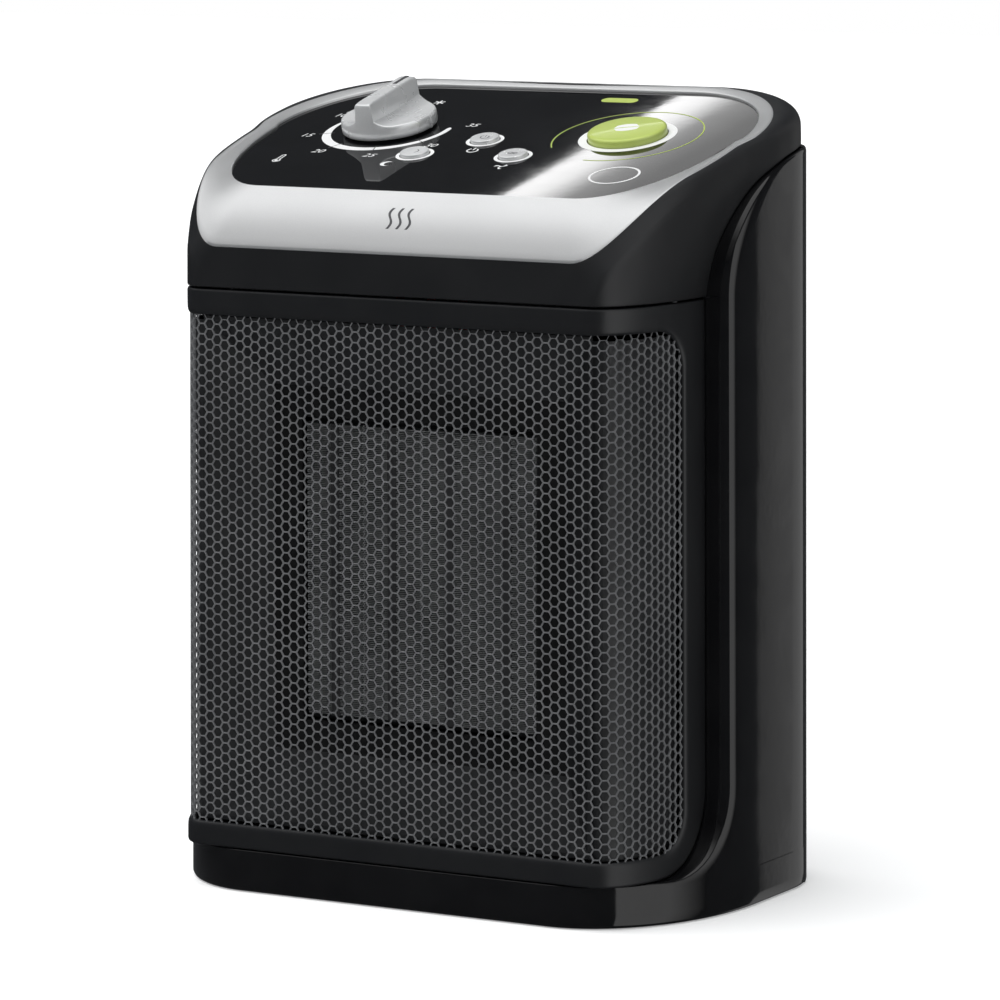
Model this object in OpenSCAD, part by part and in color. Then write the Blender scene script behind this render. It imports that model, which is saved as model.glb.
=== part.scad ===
// Free-standing ceramic space heater with a sloping control panel.
// Frame: X is the width, -Y the front grille, +Y the back, Z up from the floor.

/* [Body] */
// Widest width of the body
body_w = 206; // [190:1:230]
// Depth of the body from the front face to the back face
body_d = 132; // [126:1:150]
// Height of the seam between the front frame and the head
seam_z = 204; // [196:1:230]
// Wall of the moulded casings
wall = 2.4; // [2:0.1:3]
// Height of the feet's rubber under the casing
foot_gap = 1.5; // [1:0.1:3]
// Depth of the front corners of the body, along Y
corner_d = 66; // [50:1:72]
// Width of the front corners of the body, along X
corner_w = 44; // [40:1:60]
// Radius of the back corners of the body
back_r = 37; // [30:1:40]
// Height of the glossy band under the front frame
band_h = 14.5; // [12:0.5:20]
// Distance from the front face to the front edge of the glossy sides
rim_d = 50; // [46:1:54]
// Distance from the back face to the seam of the back shell
back_seam_d = 26; // [22:1:30]

/* [Front] */
// Distance from the widest side of the body in to the crease at each front corner
crease_in = 27.5; // [25:0.5:32]
// Width of the front frame's corner facet, along X
facet_w = 17; // [12:0.5:18]
// Margin of the frame below the grille window
margin_low = 8.5; // [6:0.5:14]
// Margin of the frame above the grille window
margin_top = 9; // [6:0.5:14]
// Margin of the frame at each side of the window, along Y
margin_side = 14; // [10:0.5:18]
// Corner radius of the grille window
window_r = 12; // [8:1:16]
// Thickness of the grille mesh
mesh_t = 1; // [0.8:0.1:1.2]
// Space between the grille mesh and the liner behind its side wraps
liner_gap = 1.2; // [0.8:0.1:4]
// Spacing of the grille holes
mesh_pitch = 12; // [11:0.5:16]
// Width of one grille hole across its corners
mesh_hole = 10; // [8:0.5:10]

/* [Head] */
// Tilt of the control panel
panel_tilt = 15; // [12:0.5:18]
// Height of the panel's front edge line above the seam
panel_rise = 32.5; // [28:0.5:40]
// Distance from the front face to the panel's front edge line
panel_setback = 13; // [11:0.5:16]
// Distance from the widest side of the body in to the side of the control panel
panel_in = 16; // [15:0.5:19]
// Width of the panel's front corners, along X
panel_corner_w = 26; // [20:1:34]
// Depth of the panel's front corners, along Y
panel_corner_d = 52; // [44:1:56]
// Width of the panel's back corners, along X
panel_back_w = 37.5; // [30:1:40]
// Depth of the panel's back corners, along Y
panel_back_d = 40; // [34:1:42]
// How much wider each side of the panel is at the back than at its front corners
panel_flare = 5; // [0:0.5:6]
// Thickness of the control panel
panel_t = 2.2; // [2:0.1:3]
// How far the bezel's front lip hangs below the panel plane
chin = 16.8; // [12:0.2:20]
// How far the widest part of the head stays inside the body
head_inset = 3.5; // [3:0.1:5]

/* [Controls] */
// Diameter of the thermostat knob
knob_d = 33; // [28:0.5:36]
// Height of the knob's disc
knob_disc_h = 5; // [4:0.5:7]
// Height of the knob's grip bar above the disc
grip_h = 9; // [6:0.5:12]
// Width of the knob's grip bar
grip_w = 6.5; // [5:0.5:9]
// Diameter of the thermostat shaft
knob_shaft_d = 6; // [5:0.5:7]
// Diameter of a small button cap
button_d = 10; // [8:0.5:12]
// Diameter of the eco button cap
eco_d = 27; // [22:0.5:30]
// Height of a small button above the panel
button_h = 1.4; // [1.2:0.1:2]
// Height of the eco button above the panel
eco_h = 3; // [2:0.1:4]
// Travel of the buttons
travel = 1; // [0.8:0.1:1.4]
// Radial clearance of a button in its hole
button_gap = 0.3; // [0.2:0.05:0.5]
// Distance from the panel's face down to the circuit board
board_drop = 12; // [11.5:0.5:14]

/* [Heater] */
// Height of the axis shared by the fan, the core and the grille
fan_z = 109; // [105:1:112]
// Width of the ceramic core
core_w = 88; // [80:1:90]
// Height of the ceramic core
core_h = 99; // [90:1:104]
// Depth of the ceramic core
core_d = 15; // [12:1:18]
// Number of ceramic bars in the core
bars = 4; // [2:1:5]
// Width of one ceramic bar
bar_w = 3.2; // [2.5:0.1:4]
// Spacing of the cooling fins
fin_pitch = 4.5; // [4:0.5:9]

/* [Fan] */
// Diameter of the impeller over its blade tips
fan_d = 108; // [96:1:110]
// Gap between the blade tips and the shroud
tip_gap = 2; // [1.5:0.1:3]
// Number of fan blades
blades = 7; // [5:1:9]
// Diameter of the motor shaft
motor_shaft_d = 4; // [3:0.5:5]
// Running clearance of shafts in their bushes, on the radius
run_gap = 0.05; // [0.02:0.01:0.1]

/* [Back] */
// Width of the hand grip
grip_pocket_w = 90; // [80:1:100]
// Height of the hand grip
grip_pocket_h = 30; // [26:1:32]
// Depth of the hand grip
grip_pocket_d = 23; // [18:1:24]
// Height of one intake slot
slot_h = 4; // [3:0.5:5]
// Bore of the cord gland
gland_bore_d = 7.2; // [6:0.1:9]

/* [Hidden] */
$fn = 48;
hw = body_w / 2;
hd = body_d / 2;
crease_x = hw - crease_in;
panel_hw = hw - panel_in;
over = 0.5;              // how far a cutting tool runs past a face
big = 400;               // longer than any part of the heater
body_o = [[hw - corner_w, corner_d - hd], [corner_w, corner_d],
    [hw - back_r, hd - back_r], [back_r, back_r]];
rim_y = rim_d - hd;
head_hw = hw - head_inset;
head_back = hd - 2;
head_o = [[crease_x, rim_y], [facet_w, rim_d], [head_hw - back_r, head_back - back_r], [back_r, back_r]];
panel_front = panel_setback + 2 - hd;
panel_back = hd - 9;
panel_o = [[panel_hw - panel_corner_w, panel_front + panel_corner_d], [panel_corner_w, panel_corner_d],
    [panel_hw + panel_flare - panel_back_w, panel_back - panel_back_d], [panel_back_w, panel_back_d]];
back_y = hd - back_seam_d;
bay_r = 28;              // corner radius of the bay that holds the front frame
front_in = wall - hd;    // inner face of the front wall
duct_y = front_in + mesh_t;
win_low = band_h + margin_low;
win_top = seam_z - margin_top;
panel_y = panel_setback - hd;
panel_z = seam_z + panel_rise;
side_top = panel_z + 14; // top edge of the glossy sides at the back
swoop_d = 62;            // depth over which that edge curves up from the seam
deck_t = 2;
lip_in = 2;              // inset of the bezel from the widest part of the head
seam_gap = 0.3;          // joint line between the head and the casings below
shroud_screw_z = [48, 180];
shroud_screw_x = head_hw - 6;
deck_z = seam_z - 8;
screw_d = 2.9;
screw_gap = 0.05;        // between a screw and its hole, on the radius
head_d = 6;
boss_d = 9;
foot_d = 14;
foot_h = 3;
base_t = 3;
base_top = foot_gap + base_t;
base_posts = [[hw - 43, 9 - hd], [hw - 15, hd - 38]];
foot_x = hw - 35;
foot_y = [24 - hd, hd - 26];
back_post_z = [40, seam_z + 18];
back_post_x = hw - 19;
deck_posts = [[crease_x + 9.5, 38 - hd], [head_hw - 8.5, hd - 52]];
flange_t = 2.5;
flange_y = rim_y + wall;
shroud_back = flange_y + flange_t + 25;
plate_t = 3;
core_y = 20 - hd;
lead_x = [-12, 0, 12];
bar_step = core_w / bars;
divider = 0.2;           // gap between two fin packs
frame_y = core_y - 1;
frame_w = 116;
frame_h = 128;
frame_t = 2;
bracket_y = shroud_back + plate_t;
stator_y = bracket_y + 5;
stator_t = 14;
bush_d = 10;
board_t = 1.6;
switch_h = 4;
knob_at = [-45, 67];
small_at = [[-21, 41.5], [-3, 58.3], [16, 43.2]];
eco_at = [46.7, 67.7];
board_posts = [[-66, 22], [66, 22], [-66, 92], [70, 92]];
gland_at = [48, 24];

// Points of an arc about a centre, from angle a0 to a1, with radii r.x and r.y
function arc(c, r, a0, a1, n) =
    [for (i = [0:n]) let (a = a0 + (a1 - a0) * i / n) [c.x + r.x * cos(a), c.y + r.y * sin(a)]];
// Smooth step from 0 to 1
function ease(t) = (1 - cos(180 * max(0, min(1, t)))) / 2;
// Right half of a plan outline: front corner, side, back corner. o = [centre, radii, centre, radii]
function half(o, i) = let (a = o[0] + [o[1].x - i, 0], b = o[2] + [o[3].x - i, 0])
    concat(arc(o[0], [o[1].x - i, o[1].y - i], -90, 0, 12),
        [for (k = [1:11]) let (t = 1 - cos(7.5 * k)) [a.x + (b.x - a.x) * ease(t), a.y + (b.y - a.y) * t]],
        arc(o[2], [o[3].x - i, o[3].y - i], 0, 90, 10));
// Whole outline, inset by i
function outline(o, i = 0) = let (h = half(o, i))
    concat(h, [for (k = [len(h) - 1:-1:0]) [-h[k].x, h[k].y]]);
// Height of the panel's plane at y
function plane_z(y) = panel_z + (y - panel_y) * tan(panel_tilt);
// Height of the bezel's outer edge at y: low at the front, level with the panel further back
function lip_z(y) = plane_z(y) + 1.5 - chin * pow(max(0, min(1, (rim_y - 11 - y) / (rim_d - 11))), 2);
// Height of the head's lower edge at y: the seam, then the swoop over the glossy side
function swoop_z(y) = let (t = max(0, min(1, (y - rim_y) / swoop_d)))
    seam_z + (side_top - seam_z) * sqrt(1 - pow(1 - t, 2));
// Height of the crease below the bezel
function crease_z(y) = max(swoop_z(y) + 1.2, lip_z(y) - 7);
function height_at(kind, y) = kind == "lip" ? lip_z(y) : kind == "plane" ? plane_z(y)
    : kind == "crease" ? crease_z(y) : swoop_z(y);
// A ring of 3-D points: an outline whose inset goes from i0 at the front to i1 at the sides,
// dz above the named surface
function ring(o, i0, i1, kind, dz = 0) = let (p = outline(o, i0), q = outline(o, i1))
    [for (k = [0:len(p) - 1]) let (f = ease((p[k].y + hd) / 90), s = p[k] + (q[k] - p[k]) * f)
        [s.x, s.y, height_at(kind, s.y) + dz]];

// Closed band of skin through a loop of rings
module ring_skin(rings) {
    n = len(rings[0]);
    m = len(rings);
    polyhedron([for (r = rings) for (p = r) p],
        [for (j = [0:m - 1]) for (k = [0:n - 1]) let (a = j * n + k, b = j * n + (k + 1) % n,
            c = ((j + 1) % m) * n + (k + 1) % n, d = ((j + 1) % m) * n + k) each [[a, c, b], [a, d, c]]]);
}

module column(o, i, z0, z1) {
    translate([0, 0, z0]) linear_extrude(z1 - z0) polygon(outline(o, i));
}

// Prism along X with its outline in the side view (y, z)
module side_prism(points) {
    rotate([90, 0, 90]) linear_extrude(big, center = true) polygon(points);
}

// Side view of the bay for the front frame, grown by g
function bay(g) = concat([[-big, band_h - g]],
    arc([rim_y - bay_r, band_h + bay_r], [bay_r + g, bay_r + g], -90, 0, 10),
    [[rim_y + g, big], [-big, big]]);

// Side view of the space under the head's lower edge, shrunk by g
function under_swoop(g = 0) = concat([[-big, 0], [-big, seam_z - g]],
    [for (p = half(head_o, 0)) if (p.y > rim_y - 0.01) [p.y + g, swoop_z(p.y) - g]],
    [[big, side_top - g], [big, 0]]);

module box(x0, x1, y0, y1, z0, z1) {
    translate([x0, y0, z0]) cube([x1 - x0, y1 - y0, z1 - z0]);
}

module both_sides() {
    children();
    mirror([1, 0, 0]) children();
}

// Cylinder along +Y from y0 to y1
module rod_y(d, x, z, y0, y1) {
    translate([x, y0, z]) rotate([-90, 0, 0]) cylinder(d = d, h = y1 - y0);
}

// Puts children on the panel's face: X across, Y up the slope, Z out of the panel
module on_panel(at) {
    translate([0, panel_y, panel_z]) rotate([panel_tilt, 0, 0]) translate([at.x, at.y, 0]) children();
}

// Pan head screw along -Z, its head's top at z = 0
module screw(length, head_h = 2) {
    difference() {
        union() {
            translate([0, 0, -head_h]) cylinder(d = head_d, h = head_h);
            translate([0, 0, -length]) cylinder(d = screw_d, h = length - head_h + 0.01);
        }
        for (a = [0, 90]) rotate([0, 0, a]) translate([-1.7, -0.4, -1]) cube([3.4, 0.8, 2]);
    }
}

module front_shell() {
    color("#101113") difference() {
        union() {
            difference() {
                column(body_o, 0, foot_gap, side_top + over);
                side_prism(bay(0));
                intersection() {
                    column(body_o, wall, 0, big);
                    side_prism(under_swoop(wall));
                    difference() {
                        column(body_o, wall, 0, big);
                        side_prism(bay(wall));
                    }
                }
                column(head_o, wall, band_h - wall, big);
            }
            // Posts for the base screws
            both_sides() {
                for (p = base_posts)
                    translate([p.x, p.y, base_top]) cylinder(d = boss_d, h = band_h - base_top - wall);
                box(base_posts[0].x - 3, base_posts[0].x + 3, front_in - 1, base_posts[0].y,
                    base_top, band_h - wall);
                box(base_posts[1].x, hw - wall / 2, base_posts[1].y - 2, base_posts[1].y + 2,
                    base_top, band_h - wall);
            }
            // Posts for the back screws
            both_sides() for (z = back_post_z) {
                rod_y(boss_d, back_post_x, z, back_y - 18, back_y + 6);
                box(back_post_x, hw - wall * 0.75, back_y - 18, back_y, z - 2, z + 2);
            }
        }
        difference() {
            box(-big, big, back_y, big, -1, big);
            both_sides() for (z = back_post_z) rod_y(boss_d, back_post_x, z, back_y - over, back_y + 6);
        }
        difference() {
            box(-big, big, -big, big, 0, big);
            side_prism(under_swoop());
        }
        both_sides() {
            for (p = base_posts) translate([p.x, p.y, foot_gap])
                cylinder(d = screw_d + 2 * screw_gap, h = band_h - wall - foot_gap - 1);
            for (z = back_post_z) rod_y(screw_d + 2 * screw_gap, back_post_x, z, back_y - 12, big / 4);
            for (z = shroud_screw_z)
                rod_y(screw_d + 2 * screw_gap, shroud_screw_x, z, rim_y + 0.6, flange_y + over);
        }
    }
}

module back_shell() {
    color("#1c1d20") difference() {
        union() {
            difference() {
                column(body_o, 0, foot_gap, side_top);
                column(body_o, wall, 0, big);
            }
            intersection() {
                column(body_o, wall / 2, foot_gap, side_top);
                both_sides() for (z = back_post_z) rod_y(boss_d + 2, back_post_x, z, back_y + 6, hd);
            }
            // Walls of the hand grip
            translate([0, hd - wall / 2, 0]) mirror([0, 1, 0]) pocket(2, grip_pocket_d + 2 - wall / 2);
        }
        box(-big, big, -big, back_y, -1, big);
        translate([0, hd + 1, 0]) mirror([0, 1, 0]) pocket(0, grip_pocket_d + 1);
        for (z = [46:8:166]) both_sides() intake_slot(3, 52, z);
        rod_y(gland_bore_d + 6.8, gland_at.x, gland_at.y, back_y, big / 4);
        rod_y(gland_bore_d + 10, gland_at.x, gland_at.y, hd - wall / 2, big / 4);
        both_sides() for (z = back_post_z) {
            rod_y(screw_d + 0.5, back_post_x, z, back_y, big / 4);
            rod_y(head_d + 1, back_post_x, z, back_y + 9, big / 4);
        }
    }
}

// Rounded box of the hand grip, grown by g, running along +Y from y = 0
module pocket(g, depth) {
    z0 = seam_z + 2;
    w = grip_pocket_w / 2 + g;
    rotate([90, 0, 180]) translate([0, z0 + grip_pocket_h / 2, 0]) linear_extrude(depth) {
        square([2 * w - 16, grip_pocket_h + 2 * g], center = true);
        square([2 * w, grip_pocket_h + 2 * g - 16], center = true);
        for (x = [-1, 1]) for (y = [-1, 1])
            translate([x * (w - 8), y * (grip_pocket_h / 2 + g - 8)]) circle(8);
    }
}

// Intake slot with round ends through the back wall
module intake_slot(x0, x1, z) {
    r = slot_h / 2;
    box(x0 + r, x1 - r, hd - 2 * wall, hd + 1, z - r, z + r);
    for (x = [x0 + r, x1 - r]) rod_y(slot_h, x, z, hd - 2 * wall, hd + 1);
}

module base_plate() {
    color("#1c1d20") difference() {
        column(body_o, wall, foot_gap, base_top);
        both_sides() {
            for (p = base_posts) translate([p.x, p.y, 0]) {
                cylinder(d = screw_d + 0.5, h = 10);
                cylinder(d = head_d + 0.6, h = foot_gap + 2);
            }
            for (y = foot_y) translate([foot_x, y, 0]) cylinder(d = foot_d, h = foot_h);
        }
    }
}

module head_cover() {
    color("#1a1b1e") difference() {
        union() {
            ring_skin([ring(head_o, 0, 0, "swoop", seam_gap), ring(head_o, 0.2, 1, "crease"),
                ring(head_o, 1, lip_in, "lip"), ring(head_o, 1 + wall, lip_in + wall, "lip", -3.4),
                ring(head_o, wall, 1 + wall, "crease", -0.5), ring(head_o, wall, wall, "swoop", seam_gap)]);
            both_sides() for (p = deck_posts) {
                translate([p.x, p.y, deck_z + deck_t]) cylinder(d = 8, h = lip_z(p.y) - 6 - deck_z - deck_t);
                box(p.x, p.x + 5.2, p.y - 1, p.y + 1, swoop_z(p.y) + 1, lip_z(p.y) - 6);
            }
        }
        both_sides() for (p = deck_posts)
            translate([p.x, p.y, deck_z]) cylinder(d = screw_d + 2 * screw_gap, h = 14);
    }
}

module bezel_ring() {
    color("#c9cbcd") ring_skin([ring(head_o, 1, lip_in, "lip"), ring(head_o, 1.6, lip_in + 0.9, "lip", 0.9),
        ring(panel_o, 0, 0, "plane", 0.7), ring(panel_o, 0, 0, "plane", -panel_t),
        ring(head_o, 3, lip_in + 1.8, "lip", -2)]);
}

module control_panel() {
    color("#17181a") difference() {
        union() {
            intersection() {
                column(panel_o, 0, panel_z - 60, panel_z + 80);
                on_panel([0, 0]) translate([-big / 2, -big / 2, -panel_t]) cube([big, big, panel_t]);
            }
            for (p = board_posts) on_panel(p)
                translate([0, 0, -board_drop]) cylinder(d = 6, h = board_drop - 1);
        }
        on_panel(knob_at) cylinder(d = knob_shaft_d + 3.2, h = 20, center = true);
        for (p = small_at) on_panel(p) cylinder(d = button_d + 2 * button_gap, h = 20, center = true);
        on_panel(eco_at) cylinder(d = eco_d + 2 * button_gap, h = 20, center = true);
        for (p = board_posts) on_panel(p) translate([0, 0, -board_drop - 1])
            cylinder(d = screw_d + 2 * screw_gap, h = board_drop - 2.5);
    }
}

module front_frame() {
    color("#1a1b1e") difference() {
        intersection() {
            column(head_o, 0, 0, seam_z);
            side_prism(bay(0));
        }
        column(head_o, wall, 0, big);
        side_prism(window(0));
    }
}

// Side view of the grille window, grown by g
function window(g) = let (y = rim_y - margin_side + g, r = window_r + g)
    concat([[-big, win_low - g]], arc([y - r, win_low - g + r], [r, r], -90, 0, 8),
        arc([y - r, win_top + g - r], [r, r], 0, 90, 8), [[-big, win_top + g]]);

module grille_mesh() {
    color("#8f9296") difference() {
        intersection() {
            column(head_o, wall, 0, seam_z);
            side_prism(window(3));
        }
        column(head_o, wall + mesh_t, 0, big);
        rows = floor((win_top - win_low - mesh_hole) / mesh_pitch);
        cols = floor((crease_x - 4) / mesh_pitch / 0.866);
        mid = (win_low + win_top) / 2;
        for (c = [-cols:cols]) for (k = [0:rows - abs(c % 2)])
            translate([c * mesh_pitch * 0.866, -hd, mid + (k - (rows - abs(c % 2)) / 2) * mesh_pitch])
                rotate([90, 0, 0]) cylinder(d = mesh_hole, h = 20, center = true, $fn = 6);
        for (c = [0:1]) for (k = [1:rows - 1])
            translate([0, rim_y - margin_side - 8 - c * 10.5,
                mid + (k - rows / 2 + c / 2 - 0.25) * mesh_pitch])
                rotate([0, 90, 0]) cylinder(d = mesh_hole - 1, h = big, center = true, $fn = 6);
    }
}

module inner_deck() {
    color("#2a2b2e") difference() {
        column(head_o, wall + mesh_t + 0.3, deck_z, deck_z + deck_t);
        both_sides() for (p = deck_posts) translate([p.x, p.y, 0]) cylinder(d = screw_d + 0.5, h = big);
        for (x = lead_x) translate([x, core_y + 8, 0]) cylinder(d = 4, h = big);
        for (x = [-5, 5]) translate([x, stator_y + 7, 0]) cylinder(d = 3.4, h = big);
    }
}

module rubber_feet() {
    color("#0c0c0d") both_sides() for (y = foot_y) translate([foot_x, y, 0]) cylinder(d = foot_d, h = foot_h);
}

module base_screws() {
    color("#b8bbbf") both_sides() for (p = base_posts)
        translate([p.x, p.y, foot_gap]) mirror([0, 0, 1]) screw(9);
}

module back_screws() {
    color("#b8bbbf") both_sides() for (z = back_post_z)
        translate([back_post_x, back_y + 11, z]) rotate([-90, 0, 0]) screw(20);
}

module deck_screws() {
    color("#b8bbbf") both_sides() for (p = deck_posts)
        translate([p.x, p.y, deck_z - 2]) mirror([0, 0, 1]) screw(14);
}

module cord_gland() {
    color("#0c0c0d") difference() {
        union() {
            rod_y(gland_bore_d + 6.8, gland_at.x, gland_at.y, hd - wall - 8, hd);
            rod_y(gland_bore_d + 10, gland_at.x, gland_at.y, hd - wall / 2, hd);
            rod_y(gland_bore_d + 10, gland_at.x, gland_at.y, hd - wall - 4, hd - wall);
        }
        rod_y(gland_bore_d, gland_at.x, gland_at.y, hd - 20, hd + 20);
    }
}

module thermostat_knob() {
    color("#b9bbbd") on_panel(knob_at) difference() {
        union() {
            translate([0, 0, 0.8]) cylinder(d = knob_d, h = knob_disc_h - 1);
            translate([0, 0, knob_disc_h - 0.2]) cylinder(d1 = knob_d, d2 = knob_d - 2, h = 1);
            intersection() {
                translate([0, 0, 0.8]) cylinder(d = knob_d - 1, h = knob_disc_h + grip_h);
                translate([-grip_w / 2, -knob_d, 0.8]) cube([grip_w, 2 * knob_d, knob_disc_h + grip_h - 0.8]);
            }
        }
        cylinder(d = knob_shaft_d, h = knob_disc_h + 4);
        translate([-0.6, knob_d / 2 - 8, knob_disc_h + grip_h - 0.6]) cube([1.2, 12, 2]);
    }
}

module knob_pointer() {
    color("#2b2c2e") on_panel(knob_at) intersection() {
        translate([-0.6, knob_d / 2 - 8, knob_disc_h + grip_h - 0.6]) cube([1.2, 12, 0.6]);
        cylinder(d = knob_d - 1, h = knob_disc_h + grip_h);
    }
}

module knob_shaft() {
    color("#b8bbbf") on_panel(knob_at) translate([0, 0, 3 - board_drop])
        cylinder(d = knob_shaft_d, h = board_drop + knob_disc_h + 1);
}

// Push button: a cap with a low crown, a flange under the panel and a stem
module push_button(at, d, h) {
    flange = panel_t + 0.1;
    on_panel(at) {
        translate([0, 0, -flange - 1.4]) cylinder(d = d, h = h + flange + 0.9);
        translate([0, 0, h - 0.5]) cylinder(d1 = d, d2 = d - 1, h = 0.5);
        translate([0, 0, -flange - 1.4]) cylinder(d = d + 2, h = 1.4);
        translate([0, 0, travel + switch_h + 0.6 - board_drop])
            cylinder(d = 3.6, h = board_drop - flange - 1.9 - travel - switch_h);
    }
}

module silence_button() {
    color("#c3c5c7") push_button(small_at[0], button_d, button_h);
}

module standby_button() {
    color("#c3c5c7") push_button(small_at[1], button_d, button_h);
}

module turbo_button() {
    color("#c3c5c7") push_button(small_at[2], button_d, button_h);
}

module eco_button() {
    color("#b5c960") push_button(eco_at, eco_d, eco_h);
}

module thermostat_pot() {
    color("#5b6a4a") on_panel(knob_at) difference() {
        union() {
            translate([-8.5, -8.5, -board_drop]) cube([17, 17, board_drop - 5]);
            translate([0, 0, -5.01]) cylinder(d = knob_shaft_d + 3, h = 5.01);
        }
        translate([0, 0, 2.5 - board_drop]) cylinder(d = knob_shaft_d + 2 * run_gap, h = 40);
    }
}

module tact_switches() {
    color("#3c3f44") for (p = concat(small_at, [eco_at])) on_panel(p) translate([0, 0, -board_drop]) {
        translate([-3, -3, 0]) cube([6, 6, switch_h - 0.5]);
        cylinder(d = 3.4, h = switch_h);
    }
}

module circuit_board() {
    color("#2f6b3c") difference() {
        on_panel([0, 0]) translate([-74, 14, -board_drop - board_t]) cube([148, 86, board_t]);
        for (p = board_posts) on_panel(p) cylinder(d = screw_d + 0.5, h = 60, center = true);
    }
}

module board_screws() {
    color("#b8bbbf") for (p = board_posts) on_panel(p)
        translate([0, 0, -board_drop - board_t - 2]) mirror([0, 0, 1]) screw(9);
}

module relays() {
    color("#2a4f8a") for (x = [-30, -8]) on_panel([x, 70])
        translate([-8, -10, -board_drop - board_t - 15]) cube([16, 20, 15]);
}

module transformer() {
    color("#6b6f74") on_panel([28, 74]) {
        translate([-13, -11, -board_drop - board_t - 20]) cube([26, 22, 20]);
        translate([-16, -7, -board_drop - board_t - 18]) cube([32, 14, 16]);
    }
}

module capacitor() {
    color("#c9b458") on_panel([-52, 84]) translate([-9, -4, -board_drop - board_t - 13]) cube([18, 8, 13]);
}

module room_sensor() {
    color("#3a2a22") on_panel([56, 30]) {
        translate([0, 0, -board_drop - board_t - 5]) sphere(d = 3);
        for (x = [-0.8, 0.8]) translate([x, 0, -board_drop - board_t - 5]) cylinder(d = 0.8, h = 5);
    }
}

module heater_frame() {
    color("#8a7f6a") difference() {
        box(-frame_w / 2, frame_w / 2, frame_y, flange_y, fan_z - frame_h / 2, fan_z + frame_h / 2);
        box(frame_t - frame_w / 2, frame_w / 2 - frame_t, frame_y + frame_t, flange_y + 1,
            fan_z - frame_h / 2 + frame_t, fan_z + frame_h / 2 - frame_t);
        box(-core_w / 2 - 1, core_w / 2 + 1, frame_y - 1, 0,
            fan_z - core_h / 2 - 2, fan_z + core_h / 2 + 2);
        for (x = lead_x) translate([x, core_y + 8, fan_z]) cylinder(d = 3.4, h = frame_h);
    }
    // Pads that hold the core at its corners
    color("#8a7f6a") both_sides() for (z = [-40, 30])
        box((core_w - divider) / 2, frame_w / 2 - frame_t, core_y + 2, core_y + 10,
            fan_z + z, fan_z + z + 10);
}

module ceramic_bars() {
    color("#3a3b3d") for (i = [0:bars - 1])
        box((i - (bars - 1) / 2) * bar_step - bar_w / 2, (i - (bars - 1) / 2) * bar_step + bar_w / 2,
            core_y, core_y + core_d, fan_z - core_h / 2, fan_z + core_h / 2);
}

module cooling_fins() {
    pack_w = (bar_step - bar_w - divider) / 2;
    low = fan_z - core_h / 2;
    fin_t = 0.6;
    color("#b4b6b8") for (i = [0:bars - 1]) for (s = [-1, 1]) {
        x = (i - (bars - 1) / 2) * bar_step + s * (bar_w + pack_w) / 2;
        difference() {
            box(x - pack_w / 2, x + pack_w / 2, core_y, core_y + core_d, low, low + core_h);
            for (z = [low + 1:fin_pitch:low + core_h - fin_pitch + fin_t])
                box(x - pack_w / 2 + 0.4, x + pack_w / 2 - 0.4, core_y - 1, core_y + core_d + 1,
                    z, z + fin_pitch - fin_t);
        }
    }
}

module heater_terminals() {
    top = fan_z + core_h / 2;
    low = fan_z - core_h / 2;
    color("#c8a24a") {
        box(-core_w / 2, core_w / 2, core_y + 4, core_y + 11, top, top + 1.2);
        for (x = lead_x) box(x - 3, x + 3, core_y + 7.6, core_y + 8.4, top + 1.2, top + 8);
        box(-core_w / 2, core_w / 2, core_y + 1, core_y + core_d - 1, low - 1.2, low);
    }
}

module heater_leads() {
    z0 = fan_z + core_h / 2 + 8;
    color("#b5322a") for (x = lead_x) translate([x, core_y + 8, z0]) cylinder(d = 3, h = deck_z + 10 - z0);
}

module thermal_cutout() {
    color("#d8d2c4") translate([32, 36 - hd, fan_z + frame_h / 2 + 1.2]) {
        cylinder(d = 16, h = 6);
        translate([0, 0, 6]) cylinder(d = 12, h = 3);
        for (x = [-7.5, 7.5]) translate([x - 1.5, -0.4, 4]) cube([3, 0.8, 9]);
    }
}

module cutout_bracket() {
    color("#b8bbbf") difference() {
        box(20, 44, 28 - hd, 44 - hd, fan_z + frame_h / 2, fan_z + frame_h / 2 + 1.2);
        for (y = [30 - hd, 42 - hd]) translate([23, y, fan_z]) cylinder(d = 2, h = frame_h);
    }
}

// Funnel between the heater frame and the grille
module outlet_duct() {
    mouth = [crease_x - 3, (win_top - win_low) / 2 - 2];
    throat = [56.5, 62];
    mid = (win_top + win_low) / 2;
    function rect(h, y, z, g) = [for (c = [[-1, -1], [1, -1], [1, 1], [-1, 1]])
        [c.x * (h.x + g), y, z + c.y * (h.y + g)]];
    liner = wall + mesh_t + liner_gap;
    liner_top = deck_z - 3;     // below the heads of the deck screws
    color("#55585c") {
        ring_skin([rect(throat, frame_y, fan_z, 1.5), rect(mouth, duct_y, mid, 1.5),
            rect(mouth, duct_y, mid, 0), rect(throat, frame_y, fan_z, 0)]);
        // Liners that close the space behind the side wraps of the grille
        difference() {
            column(head_o, liner, win_low, liner_top);
            column(head_o, liner + 1.5, 0, big);
            box(-mouth.x, mouth.x, -big, big, 0, big);
            box(-big, big, rim_y - margin_side + 3, big, 0, big);
        }
    }
}

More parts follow.
